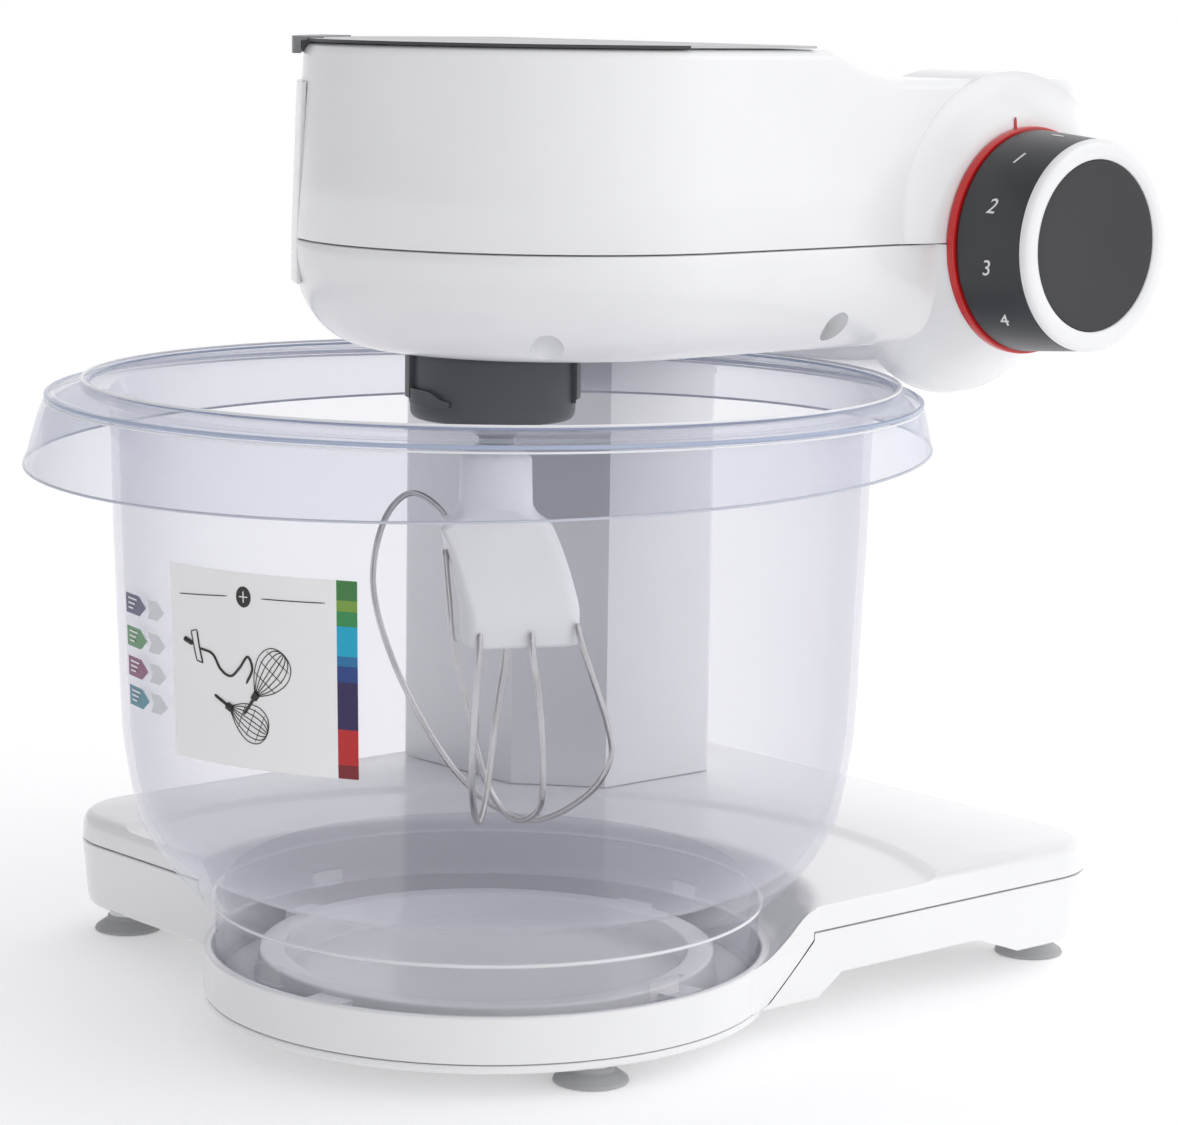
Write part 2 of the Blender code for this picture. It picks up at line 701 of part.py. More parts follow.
WHISK_LOOPS = (
    ((-11.0, 9.8, 146.0), (-17.5, 12.5, 155.5), (-26.0, 14.0, 159.0), (-33.5, 14.8, 150.0),
     (-36.4, 15.2, 131.0), (-30.0, 14.5, 108.0),
     (-17.0, 12.0, 84.0), (-5.0, 10.0, 70.0), (8.0, 7.5, 63.2), (18.0, 5.0, 64.8), (29.5, 2.0, 73.5),
     (34.6, 0.0, 84.0),
     (33.4, -2.4, 94.0), (28.8, -6.6, 109.0), (25.8, -8.6, 118.0), (24.4, -8.6, 124.0)),
    ((-15.4, -2.0, 144.0), (-14.4, -2.2, 136.0), (-13.4, -2.4, 128.0), (-12.4, -2.0, 119.0),
     (-10.2, -1.5, 109.0), (-6.5, 0.0, 92.0),
     (-2.1, 1.0, 76.0), (3.5, -0.5, 67.0), (9.0, -3.6, 65.2), (14.0, -6.6, 70.0), (14.8, -9.0, 82.0),
     (13.6, -11.4, 102.0),
     (11.8, -12.6, 114.0), (11.0, -12.6, 121.6)),
    ((-3.8, -16.8, 122.0), (-4.2, -16.6, 113.0), (-5.2, -13.4, 94.0), (-5.8, -9.8, 76.0),
     (-4.2, -6.2, 65.0),
     (-1.8, -4.6, 72.0), (0.6, -3.4, 94.0), (2.8, -2.6, 110.0), (3.6, -2.6, 116.6)),
)


def bowl():
    """Clear bowl: a footed cup whose rim turns out into a flange, with four bayonet tabs inside its foot."""
    wall = BOWL_WALL
    inside = [(r - wall, z) for r, z in BOWL_OUTSIDE[4:11]]
    inside[0] = (inside[0][0] - 1.5, inside[0][1] + 1.6)
    profile = list(BOWL_OUTSIDE) + [(118.2, 192.0), (115.0, 192.0), (111.2, 190.4)]
    profile += list(reversed(inside))
    profile += [(85.0, BOWL_FLOOR + 0.6), (78.0, BOWL_FLOOR), (0, BOWL_FLOOR)]
    profile += [(0, BOWL_FLOOR - wall), (78.4, BOWL_FLOOR - wall), (78.6, 40.0), (78.6, 15.0)]
    body = turned(profile, ROUND)
    for k in range(4):
        turn = Matrix.Rotation(math.radians(90 * k), 4, "Z")
        window = box((76.0, -6.0, 24.5), (84.0, 6.0, 30.0))
        window.transform(turn)
        tab = box((71.0, -5.0, 15.4), (79.4, 5.0, 18.6))
        tab.transform(turn)
        body = join(combine(body, window), tab)
    return body


def splash_ring():
    """Clear ring on the bowl's rim: a sloping collar with a skirt that hangs deeper on one side."""
    lowest, aside = math.radians(SKIRT_LOWEST), math.radians(RING_SHIFT_ANGLE)
    edge, edge_z = RING_EDGE
    profile = [
        # radius, z, share of the tilt, share of the shift
        (RING_INNER, RING_TOP - 1.3, 0, 0), (RING_INNER + 0.6, RING_TOP, 0, 0), (119.4, RING_TOP, 0, 0),
        (123.6, 191.7, 0, 0.3), (edge, edge_z, 0, 0.55), (129.0, 185.2, 0.1, 0.65),
        (130.8, 178.8, 0.5, 0.8),
        (SKIRT_RADIUS, SKIRT_LOW, 1, 1), (SKIRT_RADIUS - 1.8, SKIRT_LOW, 1, 1), (128.8, 178.8, 0.5, 0.8),
        (127.0, 184.6, 0.1, 0.65), (125.4, 186.8, 0, 0.55), (122.4, 189.4, 0, 0.3),
        (119.4, RING_TOP - 1.3, 0, 0),
    ]
    count = 52
    points = []
    for radius, z, tilt, shift in profile:
        for i in range(count):
            angle = math.tau * i / count
            drop = SKIRT_TILT * tilt * math.cos(angle - lowest)
            points.append((radius * math.cos(angle) + RING_SHIFT * shift * math.cos(aside),
                           radius * math.sin(angle) + RING_SHIFT * shift * math.sin(aside), z - drop))
    return mesh_from(points, tube_faces(len(profile), count, closed_rows=True))


def torsion_spring(y0, y1, radius, wire, turns):
    knots = []
    steps = turns * 10
    for i in range(steps + 1):
        angle = math.tau * i / 10
        knots.append((PIVOT_X + radius * math.cos(angle), y0 + (y1 - y0) * i / steps,
                      PIVOT_Z + radius * math.sin(angle)))
    return tube(knots, wire, 5)


def screw(place, up):
    """A pan-head screw; up is +1 when its head is on top."""
    x, y, z = place
    head = [(0, z - 2.2 * up), (2.0, z - 2.2 * up), (3.6, z - 0.9 * up), (3.6, z), (1.5, z),
            (1.5, z + 7.0 * up), (0, z + 7.0 * up)]
    return turned(head, 10, (x, y))


# ---------------------------------------------------------------- assembly


def build_base(build, white, grey, rubber, steel, zinc):
    build.piece("base_top_shell", platform_top(), white)
    build.piece("base_bottom_shell", platform_bottom(), white)
    for name, place in FOOT_PLACES.items():
        top = (CRADLE_BOTTOM if name == "front" else LEG_BOTTOM) - GAP
        build.piece(f"foot_{name}", foot(place, top), rubber)
    inner = column_half(COLUMN_Y[0], COLUMN_SEAM_Y - GAP / 2, (COLUMN_Y[0] + WALL, COLUMN_SEAM_Y + 2))
    build.piece("column_inner_shell", combine(inner, rod_y(9.0, 70, 90, 32)), white)
    outer = column_half(COLUMN_SEAM_Y + GAP / 2, COLUMN_Y[1], (COLUMN_SEAM_Y - 2, COLUMN_Y[1] - WALL))
    button_hole = rod_x(9.4, 150, 175, 143.0, 120.0, 32)
    inlet_hole = rod_x(6.4, 150, 175, 143.0, 62.0, 24)
    build.piece("column_outer_shell", combine(outer, button_hole, inlet_hole), white)
    plate = join(box((118, 128, 45), (158, 133, 232)), rod_y(17.0, 127.8, 133.2, 32),
                 box((118.2, 128.2, 45.2), (157.8, 150, 49)))
    build.piece("column_frame", combine(plate, rod_y(8.0 + GAP, 120, 140, 32)), zinc)
    build.piece("pivot_shaft", rod_y(8.0, 12.0, 158.0, 32), steel)
    build.piece("tilt_spring", torsion_spring(98.0, 114.0, 12.2, 1.4, 4), steel)
    collar = join(turned_about([(0, 0), (9.0, 0), (9.0, 2.5), (5.0, 10.0), (0, 10.0)], "X",
                               (165.3, 143, 62), 18),
                  rod_x(6.0, 158, 166, 143.0, 62.0, 24))
    build.piece("cord_gland", combine(collar, rod_x(3.4, 150, 180, 143, 62, 16)), grey)
    for k, place in enumerate(BASE_SCREWS, 1):
        build.piece(f"base_screw_{k}", screw((*place, LEG_BOTTOM + 2.6), 1), steel)


def build_release(build, grey, steel):
    joint = build.empty("release_joint", (165.0, 143.0, 120.0), build.root)
    cap = turned_about([(0, 0), (8.8, 0), (8.8, 7.0), (7.6, 8.6), (0, 9.2)], "X", (160.0, 143, 120), 32)
    build.piece("release_button", cap, grey, joint)
    bar = join(rod_x(2.6, 132, 159.6, 143.0, 120.0, 16), box((129, 139, 114), (133, 147, 190)))
    build.piece("latch_bar", bar, steel, joint)


def build_arm(build, white, grey, red, steel, copper, board, brass, zinc):
    arm = build.empty("arm_joint", (PIVOT_X, 0.0, PIVOT_Z), build.root)
    build.piece("arm_upper_shell", upper_shell(), white, arm)
    build.piece("arm_lower_shell", lower_shell(), white, arm)
    chassis = join(box((46, -48, 213.5), (172, 60, 216)), box((122, 18, 214), (160, 23, 252)),
                   box((122, 55, 214), (160, 59.8, 252)))
    for x, y in CHASSIS_SCREWS:
        chassis = combine(chassis, rod_z(1.8, 210, 220, x, y, 10))
    build.piece("arm_chassis", combine(chassis, rod_y(11.7 + GAP, 10, 70, 24)), zinc, arm)
    for name, y in (("near", 20.5), ("far", 57.4)):
        build.piece(f"pivot_bush_{name}", ring_y(11.7, 8.35, y - 4, y + 4, 20), brass, arm)
    housing = turned([(27.6, 208.4), (31.5, 208.4), (31.5, 226.0), (8.0, 226.0), (8.0, 223.6),
                      (27.6, 223.6)], 32)
    build.piece("gearbox_housing", housing, zinc, arm)
    build.piece("ring_gear", internal_gear(RING_TEETH, 27.2, 20.6, 21.8, 214.5, 222.5), steel, arm)
    stator = combine(box((36, MOTOR_Y - 28, MOTOR_Z - 28), (84, MOTOR_Y + 28, MOTOR_Z + 28)),
                     rod_x(19.0, 30, 90, MOTOR_Y, MOTOR_Z, 32))
    build.piece("motor_stator", stator, steel, arm)
    for name, x in (("front", -20.5), ("rear", 100.0)):
        build.piece(f"motor_bearing_{name}", ring_x(7.4, 3.3, x, x + 4.5, MOTOR_Y, MOTOR_Z, 16), brass, arm)
    build.piece("control_board", box((50, -58, 262), (112, -8, 264)), board, arm)
    build.piece("capacitor", rod_z(7.0, 244, 261.6, 66, -30), copper, arm)
    switch = combine(box((125, -64, 219), (157, -48, 249)), rod_y(4.4, -70, -40, 24))
    build.piece("speed_switch", switch, grey, arm)
    light = combine(rod_y(34.0, -81.0, CHEEK_Y - GAP, 36), rod_y(26.0, -84, -70, 36))
    build.piece("speed_light_ring", light, red, arm)
    socket = ring_x(10.0, 5.0, 60, 67, 0, 256, 18)
    socket.transform(cover_turn())
    build.piece("front_drive_socket", socket, grey, arm)
    for k, place in enumerate(CHASSIS_SCREWS, 1):
        build.piece(f"chassis_screw_{k}", screw((*place, 216.0 + GAP), -1), steel, arm)
    return arm


def build_drive(build, arm, white, grey, steel, brass, copper):
    motor = build.empty("motor_joint", (0.0, MOTOR_Y, MOTOR_Z), arm)
    build.piece("motor_shaft", rod_x(3.0, -22, 108, MOTOR_Y, MOTOR_Z, 14), steel, motor)
    build.piece("motor_rotor", ring_x(18.0, 3.3, 34, 86, MOTOR_Y, MOTOR_Z, 20), copper, motor)
    build.piece("motor_worm", ring_x(8.6, 3.3, -15, 15, MOTOR_Y, MOTOR_Z, 24), steel, motor)
    build.piece("motor_fan", ring_x(21.0, 3.3, 90, 97, MOTOR_Y, MOTOR_Z, 24), grey, motor)

    carrier = build.empty("drive_joint", (0.0, 0.0, ARM_BOTTOM), arm)
    build.piece("drive_hub", drive_hub(), grey, carrier)
    shaft = turned([(0, 212.3), (3.4, 212.3), (3.4, 224.5), (6.0, 227.5), (6.0, 278.0), (0, 278.0)], 24)
    build.piece("drive_shaft", shaft, steel, carrier)
    build.piece("worm_wheel", gear(22, 24.6, 22.8, 6.3, 243.0, 253.0), brass, carrier)
    build.piece("top_drive_coupling", gear(8, 14.0, 10.5, 3.0, 278.4, 285.0), grey, carrier)

    tool = build.empty("tool_joint", (*TOOL_OFFSET, HUB_BOTTOM), carrier)
    spindle = turned([(0, 154.4), (3.9, 154.4), (3.9, 222.4), (0, 222.4)], 20, TOOL_OFFSET)
    build.piece("tool_spindle", spindle, steel, tool)
    build.piece("planet_gear", gear(PLANET_TEETH, 8.2, 7.0, 4.2, 214.5, 222.0, TOOL_OFFSET), steel, tool)
    sleeve = turned([(4.2, 154.4), (10.6, 154.4), (10.8, 156), (10.8, 167), (9.6, 168.6), (6.2, 170),
                     (5.0, 176), (4.2, 176)],
                    18, TOOL_OFFSET)
    build.piece("whisk_sleeve", sleeve, white, tool)
    build.piece("whisk_body", whisk_body(), white, tool)
    for k, knots in enumerate(WHISK_LOOPS, 1):
        path = smooth_path([whisk_point(*knot) for knot in knots], 3)
        build.piece(f"whisk_wire_{k}", tube(path, 0.95, 6), steel, tool)


def build_knob(build, arm, white, dark, black, steel):
    knob = build.empty("knob_joint", (PIVOT_X, -80.0, PIVOT_Z), arm)
    depth = KNOB_TRIM_Y - KNOB_ROOT_Y
    grip = turned([(4.3, depth + GAP), (KNOB_RADIUS, depth + GAP), (KNOB_ROOT_RADIUS, 0.0),
                   (4.3, 0.0)][::-1], 32)
    root = Matrix.Translation(Vector((PIVOT_X, KNOB_ROOT_Y, PIVOT_Z)) * MM)
    grip.transform(root @ Matrix.Rotation(math.radians(-90), 4, "X"))
    build.piece("knob_grip", grip, dark, knob)
    outline = [(25.4, 0.0), (KNOB_RADIUS, 0.0), (KNOB_RADIUS, 1.3), (KNOB_RADIUS - 0.6, 2.3), (27.6, 2.7),
               (25.4, 2.2)]
    trim = turned(outline, 32)
    place = Matrix.Translation(Vector((PIVOT_X, KNOB_TRIM_Y, PIVOT_Z)) * MM)
    trim.transform(place @ Matrix.Rotation(math.radians(90), 4, "X"))
    build.piece("knob_trim_ring", trim, white, knob)
    face = turned([(0, GAP), (25.1, GAP), (25.1, 1.4), (24.2, 2.0), (0, 2.0)], 32)
    face.transform(place @ Matrix.Rotation(math.radians(90), 4, "X"))
    build.piece("knob_face", face, black, knob)
    build.piece("knob_shaft", rod_y(4.0, KNOB_TRIM_Y, -44.0, 20), steel, knob)


def build_covers(build, arm, white, dark):
    lid = build.empty("top_cover_joint", (60.0, 0.0, ARM_TOP + 1.05), arm)
    build.piece("top_cover", top_cover(), dark, lid)
    middle = math.radians(180 - sum(COVER_ANGLES) / 2)
    place = (ARM_NOSE_X + COVER_OUTER * math.cos(middle), COVER_OUTER * math.sin(middle), 256.0)
    front = build.empty("front_cover_joint", place, arm)
    build.piece("front_cover", front_cover(), white, front)


def build_bowl(build, clear):
    joint = build.empty("bowl_joint", (0.0, 0.0, CRADLE_FLOOR), build.root)
    build.piece("bowl", bowl(), clear, joint)
    ring = build.empty("splash_ring_joint", (0.0, 0.0, 190.0), joint)
    build.piece("splash_ring", splash_ring(), clear, ring)


def main():
    for old in list(bpy.data.objects):
        bpy.data.objects.remove(old)
    white = material("white gloss plastic", (0.86, 0.87, 0.88), 0.22)
    grey = material("dark grey plastic", (0.075, 0.08, 0.085), 0.42)
    dark = material("charcoal plastic", (0.045, 0.047, 0.05), 0.38)
    black = material("black satin plastic", (0.022, 0.022, 0.024), 0.3)
    red = material("red light ring", (0.72, 0.03, 0.03), 0.3)
    rubber = material("grey rubber", (0.2, 0.21, 0.22), 0.7)
    steel = material("steel", (0.62, 0.62, 0.62), 0.28, 1.0)
    zinc = material("zinc casting", (0.5, 0.5, 0.51), 0.5, 1.0)
    brass = material("bronze", (0.62, 0.44, 0.2), 0.35, 1.0)
    copper = material("copper winding", (0.55, 0.22, 0.1), 0.4, 1.0)
    board = material("circuit board", (0.03, 0.16, 0.07), 0.5)
    clear = material("clear plastic", (0.9, 0.91, 0.96), 0.08, 0.0, 0.35)

    build = Assembly()
    build_base(build, white, grey, rubber, steel, zinc)
    build_release(build, grey, steel)
    arm = build_arm(build, white, grey, red, steel, copper, board, brass, zinc)
    build_drive(build, arm, white, grey, steel, brass, copper)
    build_knob(build, arm, white, dark, black, steel)
    build_covers(build, arm, white, dark)
    build_bowl(build, clear)

    bpy.context.view_layer.update()
    low = Vector((1e9, 1e9, 1e9))
    high = -low
    for made in bpy.data.objects:
        for corner in made.bound_box if made.type == "MESH" else ():
            place = made.matrix_world @ Vector(corner)
            low = Vector(map(min, low, place))
            high = Vector(map(max, high, place))
    build.root.location = (-(low.x + high.x) / 2, -(low.y + high.y) / 2, -low.z)
    bpy.context.view_layer.update()


main()
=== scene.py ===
"""Looks of the stand mixer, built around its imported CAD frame.

Lengths are millimetres in the working frame, whose origin is on the floor under the bowl's axis: +X runs to
the back of the arm, +Y away from the knob, +Z up. They become metres in the row's frame where a mesh is made.
"""

from math import cos, pi, radians, sin, sqrt, tau

import bmesh
import bpy
from mathutils import Matrix, Vector


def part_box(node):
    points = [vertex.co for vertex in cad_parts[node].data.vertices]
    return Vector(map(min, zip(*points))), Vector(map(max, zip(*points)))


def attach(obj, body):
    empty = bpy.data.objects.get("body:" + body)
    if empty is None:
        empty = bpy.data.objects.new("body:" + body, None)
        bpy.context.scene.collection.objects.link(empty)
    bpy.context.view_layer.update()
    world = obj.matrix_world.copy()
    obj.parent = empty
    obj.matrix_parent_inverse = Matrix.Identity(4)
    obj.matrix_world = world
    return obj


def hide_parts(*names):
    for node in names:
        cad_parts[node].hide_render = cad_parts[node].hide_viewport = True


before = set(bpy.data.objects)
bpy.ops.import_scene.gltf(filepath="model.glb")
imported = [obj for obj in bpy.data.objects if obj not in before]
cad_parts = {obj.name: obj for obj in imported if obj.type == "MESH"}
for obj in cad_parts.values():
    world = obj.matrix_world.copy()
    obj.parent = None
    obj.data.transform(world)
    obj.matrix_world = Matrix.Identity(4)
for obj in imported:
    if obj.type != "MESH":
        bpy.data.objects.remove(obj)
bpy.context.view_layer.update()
MM = 0.001


def span(node, axis):
    """A node's low and high along an axis, in millimetres in the row's frame."""
    low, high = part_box(node)
    return low[axis] / MM, high[axis] / MM


AXIS_X = sum(span("drive_shaft", 0)) / 2
AXIS_Y = sum(span("drive_shaft", 1)) / 2
TO_ROW = Matrix.Translation((AXIS_X * MM, AXIS_Y * MM, 0))


def local(node, axis):
    """The same in the working frame."""
    shift = (AXIS_X, AXIS_Y, 0)[axis]
    low, high = span(node, axis)
    return low - shift, high - shift


PIVOT_X = sum(local("pivot_shaft", 0)) / 2
PIVOT_Z = sum(local("pivot_shaft", 2)) / 2
ARM_TOP = local("top_cover", 2)[1] - 1.5
HUB_BOTTOM = local("drive_hub", 2)[0]
TOOL_X = sum(local("tool_spindle", 0)) / 2
TOOL_Y = sum(local("tool_spindle", 1)) / 2

# The photograph's camera, from the bowl's axis
CAMERA_PLACE = (-661, -808, 305)
CAMERA_YAW, CAMERA_PITCH, CAMERA_ROLL = 40.87, 9.01, 0.86
CAMERA_LENS = 109.65
VIEW_SIDE = Vector((0.756, -0.654))
VIEW_DEEP = Vector((0.654, 0.756))
VIEW_ANGLE = -130.9  # plan direction from the bowl's axis to the camera


# ---- materials


class Nodes:
    """Short calls to build a material's nodes."""

    def __init__(self, name):
        self.material = bpy.data.materials.new(name)
        self.material.use_nodes = True
        self.tree = self.material.node_tree
        self.shader = self.tree.nodes["Principled BSDF"]
        self.output = self.tree.nodes["Material Output"]

    def add(self, kind, **values):
        node = self.tree.nodes.new(kind)
        for key, value in values.items():
            setattr(node, key, value)
        return node

    def put(self, **values):
        """Sets the shader's own sockets, named with _ for a space."""
        for key, value in values.items():
            self.shader.inputs[key.replace("_", " ")].default_value = value

    def join(self, source, target):
        self.tree.links.new(source, target)

    def position(self):
        return self.add("ShaderNodeNewGeometry").outputs["Position"]

    def noise(self, scale, detail=3, rough=0.5):
        node = self.add("ShaderNodeTexNoise")
        node.inputs["Scale"].default_value = scale
        node.inputs["Detail"].default_value = detail
        node.inputs["Roughness"].default_value = rough
        self.join(self.position(), node.inputs["Vector"])
        return node.outputs["Fac"]

    def ramp(self, source, low, high, start=0, end=1):
        node = self.add("ShaderNodeValToRGB")
        node.color_ramp.elements[0].position = start
        node.color_ramp.elements[1].position = end
        node.color_ramp.elements[0].color = low
        node.color_ramp.elements[1].color = high
        self.join(source, node.inputs["Fac"])
        return node.outputs["Color"]

    def scaled(self, source, low, high):
        node = self.add("ShaderNodeMapRange")
        node.inputs["To Min"].default_value = low
        node.inputs["To Max"].default_value = high
        self.join(source, node.inputs["Value"])
        return node.outputs["Result"]

    def bump(self, source, strength, distance):
        node = self.add("ShaderNodeBump")
        node.inputs["Strength"].default_value = strength
        node.inputs["Distance"].default_value = distance
        self.join(source, node.inputs["Height"])
        self.join(node.outputs["Normal"], self.shader.inputs["Normal"])


def tone(color):
    """A colour from three shares, or from the brightness of a grey and how blue it leans."""
    if len(color) == 3:
        return (*color, 1)
    value, tint = color
    return (value - tint, value - tint / 3, value + tint, 1)


def moulded(name, low, high, rough_low, rough_high, grain=900, depth=0.02, coat=0):
    """Moulded plastic: a faint tone drift, uneven gloss and a fine grain."""
    n = Nodes(name)
    drift = n.noise(14, 4)
    n.join(n.ramp(drift, tone(low), tone(high), 0.3, 0.7), n.shader.inputs["Base Color"])
    n.join(n.scaled(n.noise(45, 5, 0.6), rough_low, rough_high), n.shader.inputs["Roughness"])
    n.bump(n.noise(grain, 2), 0.25, depth * MM)
    n.put(Coat_Weight=coat, Coat_Roughness=0.08)
    return n.material


def metal(name, color, rough_low, rough_high, grain=350):
    n = Nodes(name)
    darker = tuple(0.8 * c for c in color[:3]) + (1,)
    n.join(n.ramp(n.noise(60, 5), darker, color, 0.35, 0.65), n.shader.inputs["Base Color"])
    n.join(n.scaled(n.noise(120, 4), rough_low, rough_high), n.shader.inputs["Roughness"])
    n.bump(n.noise(grain, 3), 0.2, 0.00003)
    n.put(Metallic=1)
    return n.material


def clear_plastic(name, film, thin, thick, tint):
    """Clear moulded plastic: see-through face on, milkier and glossier along its edges and beads."""
    n = Nodes(name)
    n.put(Base_Color=film, Specular_IOR_Level=0.7)
    n.join(n.scaled(n.noise(30, 4), 0.05, 0.11), n.shader.inputs["Roughness"])
    n.bump(n.noise(55, 2), 0.12, 0.0002)
    see = n.add("ShaderNodeBsdfTransparent")
    see.inputs["Color"].default_value = tint
    facing = n.add("ShaderNodeLayerWeight")
    facing.inputs["Blend"].default_value = 0.42
    power = n.add("ShaderNodeMath", operation="POWER")
    power.inputs[1].default_value = 2.2
    n.join(facing.outputs["Facing"], power.inputs[0])
    mix = n.add("ShaderNodeMixShader")
    n.join(n.scaled(power.outputs["Value"], thin, thick), mix.inputs["Fac"])
    n.join(see.outputs["BSDF"], mix.inputs[1])
    n.join(n.shader.outputs["BSDF"], mix.inputs[2])
    n.join(mix.outputs["Shader"], n.output.inputs["Surface"])
    return n.material


def make_materials():
    return {
        "white": moulded("white gloss plastic", (0.86, 0.006), (0.9, 0.004), 0.16, 0.24, 700, 0.012, 0.25),
        "white satin": moulded("white satin plastic", (0.84, 0.006), (0.88, 0.004), 0.28, 0.38),
        "hub": moulded("dark grey plastic", (0.065, 0.006), (0.082, 0.007), 0.4, 0.52, 1200, 0.03),
        "charcoal": moulded("charcoal plastic", (0.036, 0.003), (0.046, 0.004), 0.3, 0.4, 1400, 0.02),
        "black": moulded("black satin plastic", (0.017, 0.001), (0.024, 0.002), 0.26, 0.38, 1600, 0.03),
        "cover": moulded("dark cover plastic", (0.04, 0.002), (0.055, 0.003), 0.4, 0.5, 1200, 0.04),
        "lid": moulded("pale cover plastic", (0.5, 0.006), (0.58, 0.006), 0.35, 0.45, 1200, 0.02),
        "lip": moulded("grey lip plastic", (0.2, 0.006), (0.25, 0.006), 0.35, 0.45, 1200, 0.02),
        # painted highlight: near-white lines laid on the clear plastic where its edges catch the light
        "painted_line": moulded("painted highlight line on the clear plastic", (0.86, 0.01), (0.92, 0.01), 0.12, 0.2, 400,
                        0.005),
        # painted shade: blue-grey lines laid along the clear ring's beads and edge, where its thick plastic looks
        # dark
        "painted_shade_line": moulded("painted shade line on the clear plastic", (0.36, 0.42, 0.56), (0.42, 0.48, 0.62),
                              0.12, 0.2, 400, 0.005),
        # painted shade: a grey-blue line along the clear ring's lower edge
        "hem_shade": moulded("hem of the clear plastic", (0.5, 0.53, 0.6), (0.56, 0.58, 0.66), 0.12, 0.2, 400,
                       0.005),
        "red": moulded("red light ring", (0.55, 0.012, 0.012), (0.68, 0.02, 0.02), 0.28, 0.36, 600, 0.01,
                       0.3),
        "rubber": moulded("grey rubber", (0.4, 0.006), (0.47, 0.006), 0.55, 0.7, 500, 0.05),
        "paper": moulded("white paper", (0.86, 0), (0.9, 0), 0.4, 0.55, 260, 0.04),
        "print": moulded("black print", (0.02, 0), (0.03, 0), 0.5, 0.6, 300, 0.01),
        "frost": moulded("pale print", (0.62, 0.02), (0.68, 0.02), 0.4, 0.5, 300, 0.01),
        "ink": moulded("white print", (0.78, 0), (0.85, 0), 0.4, 0.5, 300, 0.005),
        "steel": metal("steel wire", (0.62, 0.62, 0.61, 1), 0.14, 0.24),
        "zinc": metal("zinc casting", (0.5, 0.5, 0.51, 1), 0.4, 0.55, 200),
        "bronze": metal("bronze", (0.62, 0.44, 0.2, 1), 0.3, 0.42),
        "copper": metal("copper winding", (0.6, 0.26, 0.12, 1), 0.35, 0.5),
        "board": moulded("circuit board", (0.02, 0.12, 0.05), (0.03, 0.17, 0.08), 0.35, 0.5),
        "clear": clear_plastic("clear bowl plastic", (0.74, 0.74, 0.82, 1), 0.04, 0.6,
                               (0.972, 0.971, 0.981, 1)),
        "clear ring": clear_plastic("clear ring plastic", (0.66, 0.69, 0.8, 1), 0.06, 0.72,
                                    (0.965, 0.967, 0.982, 1)),
    }


MATERIALS = make_materials()


# ---- mesh helpers


def arc(cx, cy, radius, start, end, count):
    points = []
    for i in range(count + 1):
        angle = radians(start + (end - start) * i / count)
        points.append((cx + radius * cos(angle), cy + radius * sin(angle)))
    return points


def placed(name, data):
    """A new object in the scene."""
    made = bpy.data.objects.new(name, data)
    bpy.context.collection.objects.link(made)
    return made


def mesh_from(points, faces):
    bm = bmesh.new()
    verts = [bm.verts.new(Vector(p) * MM) for p in points]
    for face in faces:
        bm.faces.new([verts[i] for i in face])
    bmesh.ops.recalc_face_normals(bm, faces=bm.faces)
    mesh = bpy.data.meshes.new("mesh")
    bm.to_mesh(mesh)
    bm.free()
    return mesh


def tube_faces(rows, count, closed_rows=False):
    faces = []
    for row in range(rows if closed_rows else rows - 1):
        low, high = row * count, ((row + 1) % rows) * count
        for i in range(count):
            j = (i + 1) % count
            faces.append((low + i, low + j, high + j, high + i))
    return faces


def loft(loops):
    """A solid through closed loops of the same length, capped at both ends."""
    count = len(loops[0])
    points = [p for loop in loops for p in loop]
    faces = tube_faces(len(loops), count)
    faces.append(tuple(reversed(range(count))))
    faces.append(tuple(range(len(points) - count, len(points))))
    return mesh_from(points, faces)


def prism(outline, low, high):
    return loft([[(x, y, z) for x, y in outline] for z in (low, high)])


def prism_y(outline, low, high):
    return loft([[(x, y, z) for x, z in outline] for y in (low, high)])


def box(low, high):
    x0, y0, z0 = low
    x1, y1, z1 = high
    return prism([(x0, y0), (x1, y0), (x1, y1), (x0, y1)], z0, z1)


def turned(profile, count=96, center=(0, 0), shape=None):
    """A closed profile of (radius, z) turned upright; shape(angle, row, radius, z) may move a point."""
    points, faces, rings = [], [], []
    for row, (radius, z) in enumerate(profile):
        first = len(points)
        if radius < 1e-6:
            points.append((center[0], center[1], z))
            rings.append([first] * count)
            continue
        for i in range(count):
            angle = tau * i / count
            out, up = shape(angle, row, radius, z) if shape else (radius, z)
            points.append((center[0] + out * cos(angle), center[1] + out * sin(angle), up))
        rings.append(list(range(first, first + count)))
    for a, b in zip(rings, rings[1:] + rings[:1]):
        for i in range(count):
            j = (i + 1) % count
            corners = list(dict.fromkeys((a[i], a[j], b[j], b[i])))
            if len(corners) > 2:
                faces.append(corners)
    return mesh_from(points, faces)


def plug(radius, low, high):
    """The closed profile of a plain round plug."""
    return [(0, low), (radius, low), (radius, high), (0, high)]


def rounded(profile, radius=0.6, steps=4, keep=()):
    """A closed profile with each corner cut round, except those at the axis and those named."""
    result = []
    count = len(profile)
    for i, corner in enumerate(profile):
        here = Vector(corner)
        before, after = Vector(profile[i - 1]), Vector(profile[(i + 1) % count])
        if here.x < 1e-6 or i in keep:
            result.append(corner)
            continue
        reach = min(radius, 0.45 * (before - here).length, 0.45 * (after - here).length)
        start = here + (before - here).normalized() * reach
        end = here + (after - here).normalized() * reach
        for k in range(steps + 1):
            t = k / steps
            point = start * (1 - t) ** 2 + here * 2 * t * (1 - t) + end * t**2
            result.append((max(point.x, 0), point.y))
    return result


